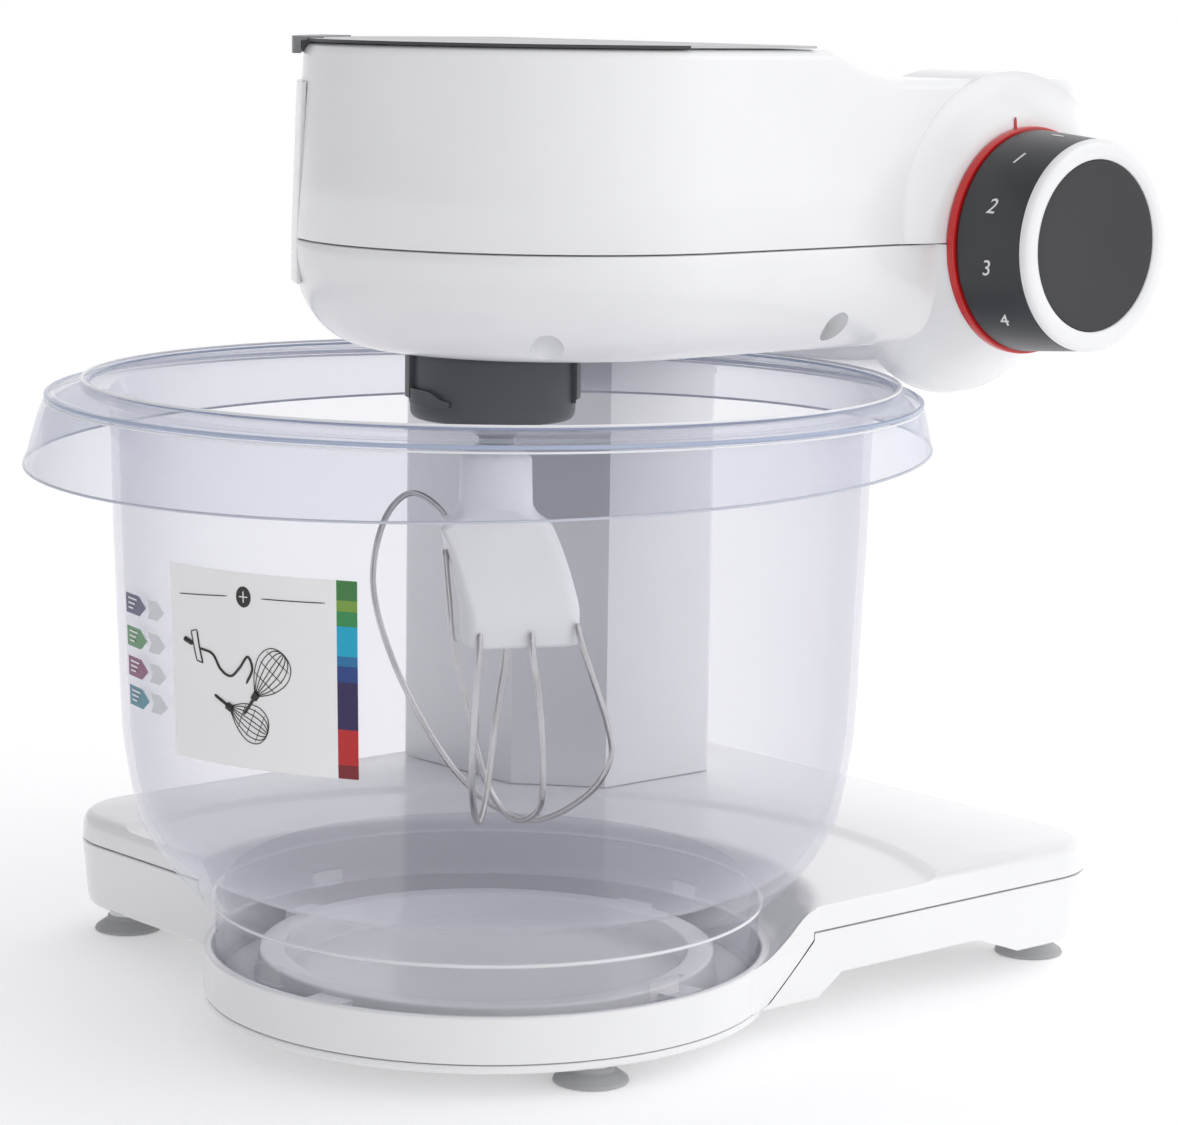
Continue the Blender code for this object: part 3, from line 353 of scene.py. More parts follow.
def curve(knots, per_span=8):
    """Catmull-Rom curve through the knots."""
    knots = [Vector(k) for k in knots]
    ends = [knots[0] * 2 - knots[1]] + knots + [knots[-1] * 2 - knots[-2]]
    path = []
    for a, b, c, d in zip(ends, ends[1:], ends[2:], ends[3:]):
        for i in range(per_span):
            t = i / per_span
            path.append(0.5 * (2 * b + (c - a) * t + (2 * a - 5 * b + 4 * c - d) * t**2
                               + (3 * b - a - 3 * c + d) * t**3))
    return path + [knots[-1]]


def bend(knots, per_span):
    """The same through flat knots, as plain pairs."""
    return [tuple(p) for p in curve(knots, per_span)]


def tube(path, radius, sides=14):
    """A round wire along a path, with rounded ends."""
    path = [Vector(p) for p in path]
    loops = []
    side = None
    for i, p in enumerate(path):
        along = (path[min(i + 1, len(path) - 1)] - path[max(i - 1, 0)]).normalized()
        if side is None:
            side = along.orthogonal().normalized()
        side = (side - along * side.dot(along)).normalized()
        other = along.cross(side)
        r = radius * (0.6 if i in (0, len(path) - 1) else 1)
        loops.append([p + side * r * cos(tau * k / sides) + other * r * sin(tau * k / sides)
                      for k in range(sides)])
    return loft(loops)


def turn_to(mesh, place, degrees, axis):
    mesh.transform(Matrix.Translation(Vector(place) * MM) @ Matrix.Rotation(radians(degrees), 4, axis))
    return mesh


def on_pivot(profile, y, count=128, degrees=90):
    """A profile turned about the arm's pivot: its heights run to -Y from y, or to +Y with -90 degrees."""
    return turn_to(turned(profile, count), (PIVOT_X, y, PIVOT_Z), degrees, "X")


def combine(first, *others, operation="DIFFERENCE"):
    """One mesh from Boolean operations of the first with each of the others."""
    body = placed("body", first)
    for mesh in others:
        tool = placed("tool", mesh)
        step = body.modifiers.new("step", "BOOLEAN")
        step.operation = operation
        step.object = tool
        graph = bpy.context.evaluated_depsgraph_get()
        result = bpy.data.meshes.new_from_object(body.evaluated_get(graph))
        body.modifiers.clear()
        body.data = result
        bpy.data.objects.remove(tool)
    result = body.data
    bpy.data.objects.remove(body)
    bm = bmesh.new()
    bm.from_mesh(result)
    bmesh.ops.remove_doubles(bm, verts=bm.verts, dist=0.000002)
    bmesh.ops.dissolve_degenerate(bm, dist=0.000002, edges=bm.edges)
    bm.to_mesh(result)
    bm.free()
    return result


def join(first, *others):
    return combine(first, *others, operation="UNION")


def meet(first, *others):
    return combine(first, *others, operation="INTERSECT")


def piece(name, mesh, material, body, *nodes, bevel=0, sharp=35, slot=None):
    """Makes a visible piece, rides it on its body and lets it stand for CAD nodes."""
    mesh.name = name
    mesh.transform(TO_ROW)
    mesh.materials.clear()
    mesh.materials.append(MATERIALS[material] if isinstance(material, str) else material)
    mesh.shade_smooth()
    made = placed(name, mesh)
    if bevel:
        edge = made.modifiers.new("edges", "BEVEL")
        edge.width = bevel * MM
        edge.segments = 3
        edge.limit_method = "ANGLE"
        edge.angle_limit = radians(sharp)
        edge.harden_normals = True
    else:
        mesh.set_sharp_from_angle(angle=radians(sharp))
    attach(made, body)
    if nodes:
        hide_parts(*nodes)
    return made


# ---- arm

ARM_NOSE_X = 20
ARM_HALF_WIDTH = 75
ARM_REAR_X = 186
ARM_REAR_CORNER = 22
ARM_BOTTOM = 202.6
ARM_REAR_TOP = 281.6
STEP_X = (64, 97)
DRAFT = 3.5
FILLET_WIDTH = 22
DRUM_RADIUS = 48.6
FILLET_HEIGHT = 30
DRUM_DOME = ((33.4, -78), (36, -72), (39.6, -65), (43.8, -59), (47.4, -54), (DRUM_RADIUS, -49))
WELL_RADIUS, WELL_DEPTH = 18.8, 12  # of the top drive
HUB_HOLE_RADIUS = 18.2
NOTCH_PLACE = (-21.3, -49.6)  # of the catch under the nose
SIDE_HOLE_PLACE = (72.5, -70, 210.5)
NOSE_RADIUS, NOSE_DEEPEST = 73.3, 83  # of the front cover's recess
LIP_ANGLES = (30, 66)  # of the top cover's grip, round the nose
SEAM = 0.45  # width of the groove between the two shells


def arm_outline(inset):
    """Pairs of points (x, half width) from the round nose to the flat rear."""
    r = ARM_HALF_WIDTH - inset
    rear = ARM_REAR_X - inset
    steps = 40
    pairs = [(ARM_NOSE_X - r * cos(radians(90 * i / steps)),
              r * sin(radians(90 * i / steps))) for i in range(steps + 1)]
    corner = ARM_REAR_CORNER - inset * 0.5
    count = 44
    end = rear - corner
    pairs += [(ARM_NOSE_X + (end - ARM_NOSE_X) * i / count, r) for i in range(1, count)]
    pairs += [(x, y) for x, y in reversed(arc(end, r - corner, corner, 0, 90, 14))]
    return pairs


def mirrored(pairs):
    """The whole outline from the half on one side."""
    return pairs + [(x, -y) for x, y in reversed(pairs[1:])]


def arm_solid(levels):
    """A solid through levels of (z at x, inset), with its caps as strips across the arm."""
    points, faces = [], []
    for height, inset in levels:
        points += [(x, y, height(x)) for x, y in mirrored(arm_outline(inset))]
    half = len(arm_outline(0))
    count = 2 * half - 1
    faces = tube_faces(len(levels), count)
    for base in (0, count * (len(levels) - 1)):
        faces.append((base, base + 1, base + count - 1))
        for i in range(1, half - 1):
            faces.append((base + i, base + i + 1, base + count - i - 1, base + count - i))
    return mesh_from(points, faces)


def arm_top(x):
    """Height of the arm's top, which steps down over the pivot with a long soft tail."""
    t = min(max((x - STEP_X[0]) / (STEP_X[1] - STEP_X[0]), 0), 1)
    ease = 0.5 * (3 * t * t - 2 * t**3) + 0.5 * (1 - (1 - t) ** 2) * min(1, t * 4)
    return ARM_TOP + (ARM_REAR_TOP - ARM_TOP) * ease


def nose_plate(r_in, r_out, grow=0):
    """A curved plate over the nose that leans back with the shell above its seam."""
    low, high = 180 - 24 + grow, 180 - 72 - grow
    loops = []
    for z, lean in ((221 - grow, 0), (PIVOT_Z, 0), (279 + grow, 1.5)):
        outline = (arc(ARM_NOSE_X, 0, r_out - lean, low, high, 28)
                   + arc(ARM_NOSE_X, 0, r_in - lean, high, low, 28))
        loops.append([(x, y, z) for x, y in outline])
    return loft(loops)


def upper_shell():
    seam = PIVOT_Z + SEAM / 2
    levels = [(lambda x: seam, 0.5), (lambda x: seam + 0.15, 0.15), (lambda x: seam + 0.5, 0)]
    edge = 3.2
    for part in (0.3, 0.6, 0.85):
        levels.append((lambda x, part=part: seam + part * (arm_top(x) - edge - seam), part * DRAFT))
    for k in range(0, 7):
        angle = radians(90 * k / 6)
        drop, inset = edge * (1 - sin(angle)), DRAFT + edge * (1 - cos(angle))
        levels.append((lambda x, drop=drop: arm_top(x) - drop, inset))
    shell = arm_solid(levels)
    well = turned(rounded(plug(WELL_RADIUS, ARM_TOP - WELL_DEPTH, ARM_TOP + 5), 1), 64)
    above = box((-100, -120, seam), (300, 120, 400))
    return combine(join(shell, meet(cheek(), above)), well, nose_plate(NOSE_RADIUS, NOSE_DEEPEST, 0.3))


def lower_shell():
    seam = PIVOT_Z - SEAM / 2
    levels = [(lambda x: seam, 0.5), (lambda x: seam - 0.15, 0.15), (lambda x: seam - 0.5, 0)]
    count = 18
    for k in range(1, count + 1):
        angle = radians(90 * k / count)
        z = ARM_BOTTOM + FILLET_HEIGHT * (1 - sin(angle))
        inset = FILLET_WIDTH * (1 - cos(angle))
        levels.append((lambda x, z=z: z, inset))
    shell = arm_solid(levels)
    below = box((-100, -120, 100), (300, 120, seam))
    edge = [(0, -78), (20, -78)] + bend(DRUM_DOME, 6)
    edge += rounded([(44.6, -45), (44.6, 45), (DRUM_RADIUS, 49), (DRUM_RADIUS, 71.6), (0, 71.6)], 1.4, 4,
                    keep=(0,))
    shell = join(shell, meet(on_pivot(edge, 0, 160, -90), below))
    hub_hole = turned(plug(HUB_HOLE_RADIUS, 200, 212), 64)
    notch = [(0, 190), (4.7, 190), (4.7, 208.6), (4.4, 211.2), (3.3, 213.2), (1.7, 214.4), (0, 214.7)]
    side = turn_to(turned(plug(4.4, -10, 12), 32), SIDE_HOLE_PLACE, 90, "X")
    recess = nose_plate(NOSE_RADIUS, NOSE_DEEPEST, 0.3)
    return combine(shell, hub_hole, turned(notch, 40, NOTCH_PLACE), side, recess)


def side_depth(x, up):
    """How far the arm's side stands off its middle, at a place along it and a height over the pivot."""
    past = min(max(x - (ARM_REAR_X - ARM_REAR_CORNER), 0), ARM_REAR_CORNER)
    corner = ARM_REAR_CORNER - sqrt(ARM_REAR_CORNER**2 - past**2)
    return ARM_HALF_WIDTH - corner - DRAFT * max(up, 0) / 48


def cheek():
    """The low swelling of the upper shell round the knob's shaft, which fades into the arm's side."""
    inner, outer, top = 34, 50, 78
    profile = [(0, 40), (outer, 40)]
    profile += [(outer - (outer - inner) * k / 16, 50) for k in range(17)] + [(0, 50)]

    def swell(angle, row, radius, depth):
        if depth < 45:
            return radius, depth
        side = side_depth(PIVOT_X + radius * cos(angle), radius * sin(angle)) - 0.05
        t = min(max((outer - radius) / (outer - inner), 0), 1)
        return radius, side + (top - side) * (3 * t * t - 2 * t**3)

    mesh = turned(profile, 128, shape=swell)
    for vertex in mesh.vertices:
        if vertex.co.x == 0 and vertex.co.y == 0 and vertex.co.z > 0.045:
            vertex.co.z = top * MM
    return turn_to(mesh, (PIVOT_X, 0, PIVOT_Z), 90, "X")


def build_arm():
    piece("arm_top_casing", upper_shell(), "white", "arm", "arm_upper_shell", sharp=28)
    piece("arm_under_casing", lower_shell(), "white", "arm", "arm_lower_shell", sharp=28)
    boss = rounded(plug(39, 66, 79.2), 1.2)
    piece("pivot_boss", on_pivot(boss, 0, 72, -90), "white", "arm", slot="white_plastic")
    ring = rounded([(26, 0), (33.9, 0), (33.9, 2.6), (26, 2.6)], 0.5)
    piece("red_ring", on_pivot(ring, -78.3, 96), "red", "arm", "speed_light_ring")


def nose_sector(r_in, r_out, angles, z_low, z_high):
    low, high = 180 - angles[0], 180 - angles[1]
    outline = arc(ARM_NOSE_X, 0, r_out, low, high, 28) + arc(ARM_NOSE_X, 0, r_in, high, low, 28)
    return prism(outline, z_low, z_high)


def build_covers():
    pairs = [(x, y) for x, y in arm_outline(DRAFT + 0.9) if x < 50]
    outline = mirrored(pairs + [(60, pairs[-1][1])])
    piece("drive_cover_top", prism(outline, ARM_TOP + 0.3, ARM_TOP + 1.05), "lid", "top_cover", "top_cover",
          bevel=0.2, sharp=40)
    edge = [(x, y) for x, y in arm_outline(DRAFT + 0.75) if x < 12]
    inner = [(x, y) for x, y in arm_outline(DRAFT + 3.5) if x < 12]
    for side, name in ((-1, "near"), (1, "far")):
        strip = [(x, side * y) for x, y in edge] + [(x, side * y) for x, y in reversed(inner)]
        piece(f"drive_cover_edge_{name}", prism(strip, ARM_TOP + 0.1, ARM_TOP + 1), "cover", "top_cover",
              slot="charcoal_plastic")
    lip = nose_sector(72.6, 74.9, LIP_ANGLES, ARM_TOP - 3.4, ARM_TOP + 1.5)
    bridge = nose_sector(66, 74.7, LIP_ANGLES, ARM_TOP + 0.35, ARM_TOP + 1.5)
    piece("drive_cover_lip", join(bridge, lip), "lip", "top_cover", bevel=0.45, sharp=40,
          slot="charcoal_plastic")
    piece("drive_cover_front", nose_plate(73.6, 75), "white", "front_cover", "front_cover", bevel=0.4,
          sharp=40)


# ---- knob

KNOB_RADIUS = 31.2
KNOB_ROOT_RADIUS = 33
KNOB_ROOT_Y = -81.4
KNOB_TRIM_Y = -104.6


def number_mesh(text, size):
    data = bpy.data.curves.new("digit", "FONT")
    data.body = text
    data.size = size * MM
    data.extrude = 0.00012
    data.shear = 0.25
    data.align_x = "CENTER"
    data.align_y = "CENTER"
    data.resolution_u = 6
    made = placed("digit", data)
    bpy.context.view_layer.update()
    mesh = bpy.data.meshes.new_from_object(made.evaluated_get(bpy.context.evaluated_depsgraph_get()))
    bpy.data.objects.remove(made)
    return mesh


def wrapped_on_knob(mesh, angle, y):
    """Wraps a flat print round the knob: its x runs along -Y, its y round the grip, at an angle from up."""
    share = (KNOB_ROOT_Y - y) / (KNOB_ROOT_Y - KNOB_TRIM_Y)
    radius = (KNOB_ROOT_RADIUS + (KNOB_RADIUS - KNOB_ROOT_RADIUS) * share) * MM
    slope = (KNOB_ROOT_RADIUS - KNOB_RADIUS) / (KNOB_ROOT_Y - KNOB_TRIM_Y)
    for vertex in mesh.vertices:
        flat = vertex.co.copy()
        around = radians(angle) - flat.y / radius
        out = radius + flat.z + 0.00004 - slope * flat.x
        vertex.co = (PIVOT_X * MM - out * sin(around), y * MM - flat.x, PIVOT_Z * MM + out * cos(around))
    return mesh


def build_knob():
    length = KNOB_ROOT_Y - KNOB_TRIM_Y - 0.2
    grip = rounded([(4.2, 0), (KNOB_ROOT_RADIUS - 0.2, 0), (KNOB_ROOT_RADIUS, 0.8), (KNOB_RADIUS, length),
                    (4.2, length)], 0.4)
    piece("dial_grip", on_pivot(grip, KNOB_ROOT_Y), "charcoal", "knob", "knob_grip")
    trim = [(25.3, 0), (KNOB_RADIUS, 0), (KNOB_RADIUS + 0.1, 0.5), (KNOB_RADIUS + 0.1, 1.4),
            (KNOB_RADIUS - 0.6, 2.4), (29.2, 2.9), (27, 2.9), (25.3, 2.1)]
    piece("dial_trim", on_pivot(rounded(trim, 0.5), KNOB_TRIM_Y), "white", "knob", "knob_trim_ring")
    face = [(0, 0.3), (25.1, 0.3), (25.1, 1.9)]
    for k in range(1, 8):
        t = k / 7
        face.append((25 - 24.8 * t**1.5, 2.05 - 0.85 * t))
    face.append((0, 1.2))
    piece("dial_face", on_pivot(face, KNOB_TRIM_Y), "black", "knob", "knob_face", sharp=50)
    for text, angle, y in (("1", 38, -92.4), ("2", 69, -92.2), ("3", 101.5, -92), ("4", 133, -92.4)):
        piece(f"dial_number_{text}", wrapped_on_knob(number_mesh(text, 6.6), angle, y), "ink", "knob",
              slot="white_plastic")
    dash = prism(arc(0, 0, 0.5, 90, 270, 6) + arc(3.2, 0, 0.5, -90, 90, 6), -0.12, 0.12)
    piece("dial_zero_mark", wrapped_on_knob(dash, 8, -92.4), "ink", "knob", slot="white_plastic")
    mark = prism([(-0.6, -1.6), (0.6, -1.6), (0.2, 1.6), (-0.2, 1.6)], 0, 0.35)
    piece("pointer_mark", turn_to(mark, (PIVOT_X - 5.5, -77.9, PIVOT_Z + 35), 90, "X"), "red", "arm",
          slot="red_plastic")


# ---- hub and whisk


def sector(r_in, r_out, start, end, z0, z1):
    return prism(arc(0, 0, r_out, start, end, 24) + arc(0, 0, r_in, end, start, 24), z0, z1)


HUB_RADIUS = 24.2
HUB_COLLAR = 25.7


def smoothed(loops, steps):
    """The loops with others read between them."""
    rows = [[Vector(p) for p in loop] for loop in loops]
    tracks = [curve([row[i] for row in rows], steps) for i in range(len(rows[0]))]
    return [[track[k] for track in tracks] for k in range(len(tracks[0]))]


def hub_mesh():
    top = ARM_BOTTOM - 0.4
    drum = turned(rounded(plug(HUB_RADIUS, HUB_BOTTOM, top), 3, 7), 128)
    for turn in (0, 180):
        middle = VIEW_ANGLE - 88 + turn
        collar = sector(HUB_RADIUS - 1.3, HUB_COLLAR, middle - 19, middle + 19, HUB_BOTTOM + 6.5, top - 0.2)
        loops = []
        for angle, low, high in ((-19, 5.4, 10), (20, 5.2, 9.6), (44, 5, 9.2), (52, 5, 7.4), (60, 5.2, 6.6)):
            a = radians(middle + angle)
            loops.append([(r * cos(a), r * sin(a), HUB_BOTTOM + z)
                          for r, z in ((HUB_RADIUS - 1.5, low), (HUB_COLLAR - 0.2, low),
                                       (HUB_COLLAR - 0.2, high), (HUB_RADIUS - 1.5, high))])
        drum = join(drum, collar, loft(smoothed(loops, 6)))
    socket = [(0, HUB_BOTTOM - 2), (11.2, HUB_BOTTOM - 2), (10.6, HUB_BOTTOM + 6), (0, HUB_BOTTOM + 6)]
    well = turned(socket, 48, (TOOL_X * 0.85, TOOL_Y * 0.85))
    return combine(drum, well)


def whisk_point(u, v, z):
    plan = Vector((TOOL_X, TOOL_Y)) + VIEW_SIDE * u + VIEW_DEEP * v
    return (plan.x, plan.y, z)


WHISK_LOOPS = (
    ((-11, 9.8, 146), (-17.5, 12.5, 155.5), (-26, 14, 159), (-33.5, 14.8, 150), (-36.4, 15.2, 131),
     (-30, 14.5, 108), (-17, 12, 84), (-5, 10, 70), (8, 7.5, 63.2), (18, 5, 64.8), (29.5, 2, 73.5),
     (34.6, 0, 84), (33.4, -2.4, 94), (28.8, -6.6, 109), (25.8, -7.8, 118), (24, -7, 124.6)),
    ((-14.6, -2, 145), (-13.8, -2.2, 136), (-13, -2.4, 128), (-12.2, -2, 119), (-10.2, -1.5, 109),
     (-6.5, 0, 92), (-2.1, 1, 76), (3.5, -0.5, 67), (9, -3.6, 65.2), (14, -6.6, 70), (14.8, -9, 82),
     (13.6, -11, 102), (11.8, -11.8, 114), (11, -11.2, 122.6)),
    ((-3.8, -15.2, 122.6), (-4.2, -15.8, 113), (-5.2, -13.4, 94), (-5.8, -9.8, 76), (-4.2, -6.2, 65),
     (-1.8, -4.6, 72), (0.6, -3.4, 94), (2.8, -2.6, 110), (3.6, -2.6, 119)),
)


def rounded_quad(corners, radii, steps):
    """A four-sided outline with its corners cut round."""
    outline = []
    for i, corner in enumerate(corners):
        here, before, after = Vector(corner), Vector(corners[i - 1]), Vector(corners[(i + 1) % 4])
        start = here + (before - here).normalized() * radii[i]
        end = here + (after - here).normalized() * radii[i]
        for k in range(steps + 1):
            t = k / steps
            outline.append(start * (1 - t) ** 2 + here * 2 * t * (1 - t) + end * t**2)
    return outline


def square(half):
    return ((-half, -half), (half, -half), (half, half), (-half, half))


BODY_CORNERS = (2.4, 6, 7, 5)
WHISK_SECTIONS = (
    # height, its corners (u, v) from the front left, and how round they are
    (176, square(5.4), (5.4,) * 4), (173.6, square(8.8), (8.8,) * 4), (171.6, square(10.4), (10.4,) * 4),
    (164, square(10.6), (10.6,) * 4), (158, square(10.8), (10.6,) * 4),
    (155.4, ((-11.6, -9), (13.2, -5), (11.4, 11), (-13.2, 9)), (7, 7.5, 8, 7)),
    (153.6, ((-14.2, -9), (16.4, -2.4), (12.6, 12.2), (-15.6, 8.8)), (4, 6, 7, 5)),
    (151.5, ((-15.5, -9.7), (18.2, -1.6), (13.4, 13), (-17, 9)), BODY_CORNERS),
    (146, ((-12.6, -12), (20.8, -3), (15.5, 12), (-16, 8)), BODY_CORNERS),
    (139, ((-10, -14), (23.5, -4.5), (18, 9.5), (-14.2, 5)), BODY_CORNERS),
    (132, ((-7.7, -15.2), (25.6, -5.5), (20.5, 7), (-12.4, 2)), BODY_CORNERS),
    (128.6, ((-6.7, -15.6), (26.4, -5.8), (21.3, 6.2), (-11.7, 0.9)), BODY_CORNERS),
    (127, ((-6.4, -15.6), (26.5, -5.8), (21.5, 6), (-11.4, 0.5)), BODY_CORNERS),
    (118.8, ((-6.2, -15.4), (26.5, -5.7), (21.5, 5), (-10.8, -0.5)), BODY_CORNERS),
    (117.9, ((-5.8, -15), (26.1, -5.4), (21.2, 4.6), (-10.4, -0.8)), BODY_CORNERS),
    (117.6, ((-5, -14.2), (25.2, -5), (20.6, 3.8), (-9.4, -1.4)), BODY_CORNERS),
)


def whisk_head():
    """The moulded head of the whisk: a leaning slab under a round sleeve."""
    loops = []
    for z, corners, radii in WHISK_SECTIONS:
        loops.append([whisk_point(q.x, q.y, z) for q in rounded_quad(corners, radii, 10)])
    return loft(loops)


def build_whisk():
    piece("drive_hub_drum", hub_mesh(), "hub", "drive", "drive_hub", bevel=0.35, sharp=40)
    piece("whisk_head", whisk_head(), "white satin", "tool", "whisk_body", "whisk_sleeve", sharp=50)
    neck = rounded([(0, 172), (5.2, 172), (5.2, 178), (6.8, 179), (6.8, 184.5), (4, 186), (0, 186)], 0.6)
    piece("whisk_neck", turned(neck, 48, (TOOL_X, TOOL_Y)), "hub", "tool", slot="dark_grey_plastic")
    for k, knots in enumerate(WHISK_LOOPS, 1):
        path = curve([whisk_point(*knot) for knot in knots], 9)
        piece(f"whisk_loop_{k}", tube(path, 0.95), "steel", "tool", f"whisk_wire_{k}")


# ---- bowl and splash ring

BOWL_OUTSIDE = [
    (81, 15), (81, 26), (81, 37), (82.4, 39.6), (87.5, 44.6), (94.9, 51.8), (100.3, 59.6),
    (104.6, 69.4), (107.4, 85.7), (108.4, 100), (109.4, 126), (110.3, 152), (111, 180), (112.2, 186.4),
    (115.6, 189.6), (118.6, 190.3),
]
BOWL_FLOOR = 48.6
BOWL_WALL = 2.4


def bowl_mesh():
    outside = [(81, 15), (81, 36)] + bend(BOWL_OUTSIDE[2:], 5)
    inside = [(r - BOWL_WALL, z + (1.6 if z < 75 else 0.6)) for r, z in outside if 54 < z < 187]
    profile = outside + [(119, 191.2), (118.2, 192.2), (114.6, 192.2), (111, 190.6)] + inside[::-1]
    profile += [(91, 53), (86, 50.2), (80, BOWL_FLOOR), (60, BOWL_FLOOR), (0, BOWL_FLOOR),
                (0, BOWL_FLOOR - BOWL_WALL)]
    profile += [(76, BOWL_FLOOR - BOWL_WALL), (78.6, 43), (78.6, 36), (78.6, 15)]
    rows = len(outside)

    def ribs(angle, row, radius, z):
        if row < rows and 46 < z < 92:
            side = abs(sin(angle - radians(VIEW_ANGLE)))
            fade = max(0, side - 0.72) / 0.28 * sin(pi * (z - 46) / 46)
            return radius - 0.35 * fade * (0.5 + 0.5 * sin(tau * z / 3.4)), z
        return radius, z

    body = turned(profile, 180, shape=ribs)
    for k in range(4):
        turn = Matrix.Rotation(radians(90 * k), 4, "Z")
        window = box((76, -6.5, 25), (84, 6.5, 30.5))
        window.transform(turn)
        tab = box((71, -5, 15.4), (79.4, 5, 18.6))
        tab.transform(turn)
        body = join(combine(body, window), tab)
    return body


SKIRT_TILT = 4.2
SKIRT_LOWEST = radians(175)
RING_SHIFT = Vector((cos(radians(139.1)), sin(radians(139.1)))) * 3.8


def ring_profile():
    """Rows of (radius, z, share of the tilt, share of the shift) round the ring's thick wall."""
    outside = [(117, 192.4, 0, 0), (117.1, 193.3, 0, 0), (117.7, 193.9, 0, 0), (118.6, 193.9, 0, 0),
               (119.2, 193.3, 0, 0), (119.6, 192.5, 0, 0.05), (121, 191.9, 0, 0.15),
               (123.8, 190.9, 0, 0.35), (125.4, 190.2, 0, 0.45), (126, 190.5, 0, 0.5),
               (126.7, 190.3, 0, 0.55), (127.2, 189.6, 0, 0.55), (127.5, 188.6, 0, 0.55),
               (128.2, 187, 0.05, 0.6), (129.4, 183.4, 0.2, 0.7), (130.4, 179.4, 0.45, 0.8),
               (131.4, 175.4, 0.75, 0.9), (132.2, 173.4, 0.95, 1)]
    inside = [(132.3, 172.9, 1, 1), (131.9, 172.6, 1, 1), (131, 172.6, 1, 1), (130.6, 173, 1, 1),
              (129.8, 175.4, 0.75, 0.9), (128.7, 179.4, 0.45, 0.8), (127.6, 183.4, 0.2, 0.7),
              (126.6, 186, 0.05, 0.6), (125.4, 187.4, 0, 0.55), (123.4, 188.8, 0, 0.35),
              (121, 190, 0, 0.15), (119.6, 190.6, 0, 0.05), (119.3, 191.2, 0, 0), (118.6, 192.3, 0, 0)]
    return outside + inside


def ring_mesh(rows):
    """A closed band of the splash ring: its rows keep to the ring's own shift and tilt."""
    points = []
    count = 240
    for radius, z, tilt, shift in rows:
        for i in range(count):
            angle = tau * i / count
            drop = SKIRT_TILT * tilt * cos(angle - SKIRT_LOWEST)
            points.append((radius * cos(angle) + RING_SHIFT.x * shift,
                           radius * sin(angle) + RING_SHIFT.y * shift, z - drop))
    return mesh_from(points, tube_faces(len(rows), count, closed_rows=True))


def painted_line(radius, z, thick, tilt=0, shift=0):
    """A thin round tube on the ring at a radius and a height, carrying a painted highlight or painted shade line.
    """
    rows = [(radius + thick * cos(tau * k / 10), z + thick * sin(tau * k / 10), tilt, shift)
            for k in range(10)]
    return ring_mesh(rows)


RING_PAINTED_LINES = (
    # painted highlight and painted shade lines on the clear ring: name, material, radius, height, half thickness,
    # share of the tilt and of the shift
    ("inner", "painted_line", 118.9, 193.75, 0.4, 0, 0), ("inner_shade", "painted_shade_line", 117.2, 192.9, 0.4, 0, 0),
    ("edge_shade", "painted_shade_line", 127.25, 189.2, 0.62, 0, 0.55),
    ("edge", "painted_line", 127.5, 187.9, 0.35, 0.02, 0.57), ("hem_shade", "hem_shade", 132, 172.75, 0.4, 1, 1),
)


def bowl_radius(z):
    """Radius of the bowl's outside at a height."""
    for (r0, z0), (r1, z1) in zip(BOWL_OUTSIDE, BOWL_OUTSIDE[1:]):
        if z <= z1:
            return r0 + (r1 - r0) * (z - z0) / (z1 - z0)
    return BOWL_OUTSIDE[-1][0]


def on_bowl(angle, z, off):
    """A point off the bowl's outside, at a plan angle in degrees and a height."""
    out = bowl_radius(z) + off
    return (out * cos(radians(angle)), out * sin(radians(angle)), z)


def sticker(corners, off, thick, across=24, up=10):
    """A thin sheet on the bowl between (angle, z) corners: low left, low right, high right, high left."""
    low_left, low_right, high_right, high_left = (Vector(c) for c in corners)
    points = []
    for layer in (off, off + thick):
        for j in range(up + 1):
            for i in range(across + 1):
                u, v = i / across, j / up
                place = low_left * (1 - u) * (1 - v) + low_right * u * (1 - v)
                place += high_right * u * v + high_left * (1 - u) * v
                points.append(on_bowl(place.x, place.y, layer))
    row, sheet = across + 1, (across + 1) * (up + 1)
    faces = []
    for j in range(up):
        for i in range(across):
            a = j * row + i
            faces.append((a, a + 1, a + row + 1, a + row))
            faces.append((sheet + a, sheet + a + row, sheet + a + row + 1, sheet + a + 1))
    edge = list(range(across + 1)) + [row * j + across for j in range(1, up + 1)]
    edge += [row * up + i for i in range(across - 1, -1, -1)] + [row * j for j in range(up - 1, 0, -1)]
    for a, b in zip(edge, edge[1:] + edge[:1]):
        faces.append((a, b, sheet + b, sheet + a))
    return mesh_from(points, faces)


def print_polygon(outline, off, thick):
    """A small printed shape on the label, from (angle, z) points."""
    return loft([[on_bowl(angle, z, layer) for angle, z in outline] for layer in (off, off + thick)])


LABEL_DEGREE = 1.92  # millimetres of the bowl's outside to a degree of plan angle
LABEL_LEAN = 0.035  # how much the label's rows climb for each degree


def on_label(x, y):
    """(angle, z) of a place on the white label, in millimetres from its middle."""
    return 193.2 + x / LABEL_DEGREE, 122 + y + LABEL_LEAN * x / LABEL_DEGREE


def label_line(knots, width, smooth=6):
    """A printed line on the label through knots in millimetres from its middle."""
    knots = [Vector((x, y, 0)) for x, y in knots]
    straight = [knots[0].lerp(knots[-1], k / 12) for k in range(13)]
    path = curve(knots, smooth) if len(knots) > 2 else straight
    return tube([on_bowl(*on_label(q.x, q.y), 0.3) for q in path], width / 2, 6)


def round_outline(x, y, rx, ry):
    turns = [tau * k / 20 for k in range(20)]
    return [on_label(x + rx * cos(turn), y + ry * sin(turn)) for turn in turns]


def merged(meshes):
    """One mesh of several separate ones."""
    bm = bmesh.new()
    for mesh in meshes:
        bm.from_mesh(mesh)
    result = bpy.data.meshes.new("merged")
    bm.to_mesh(result)
    bm.free()
    return result


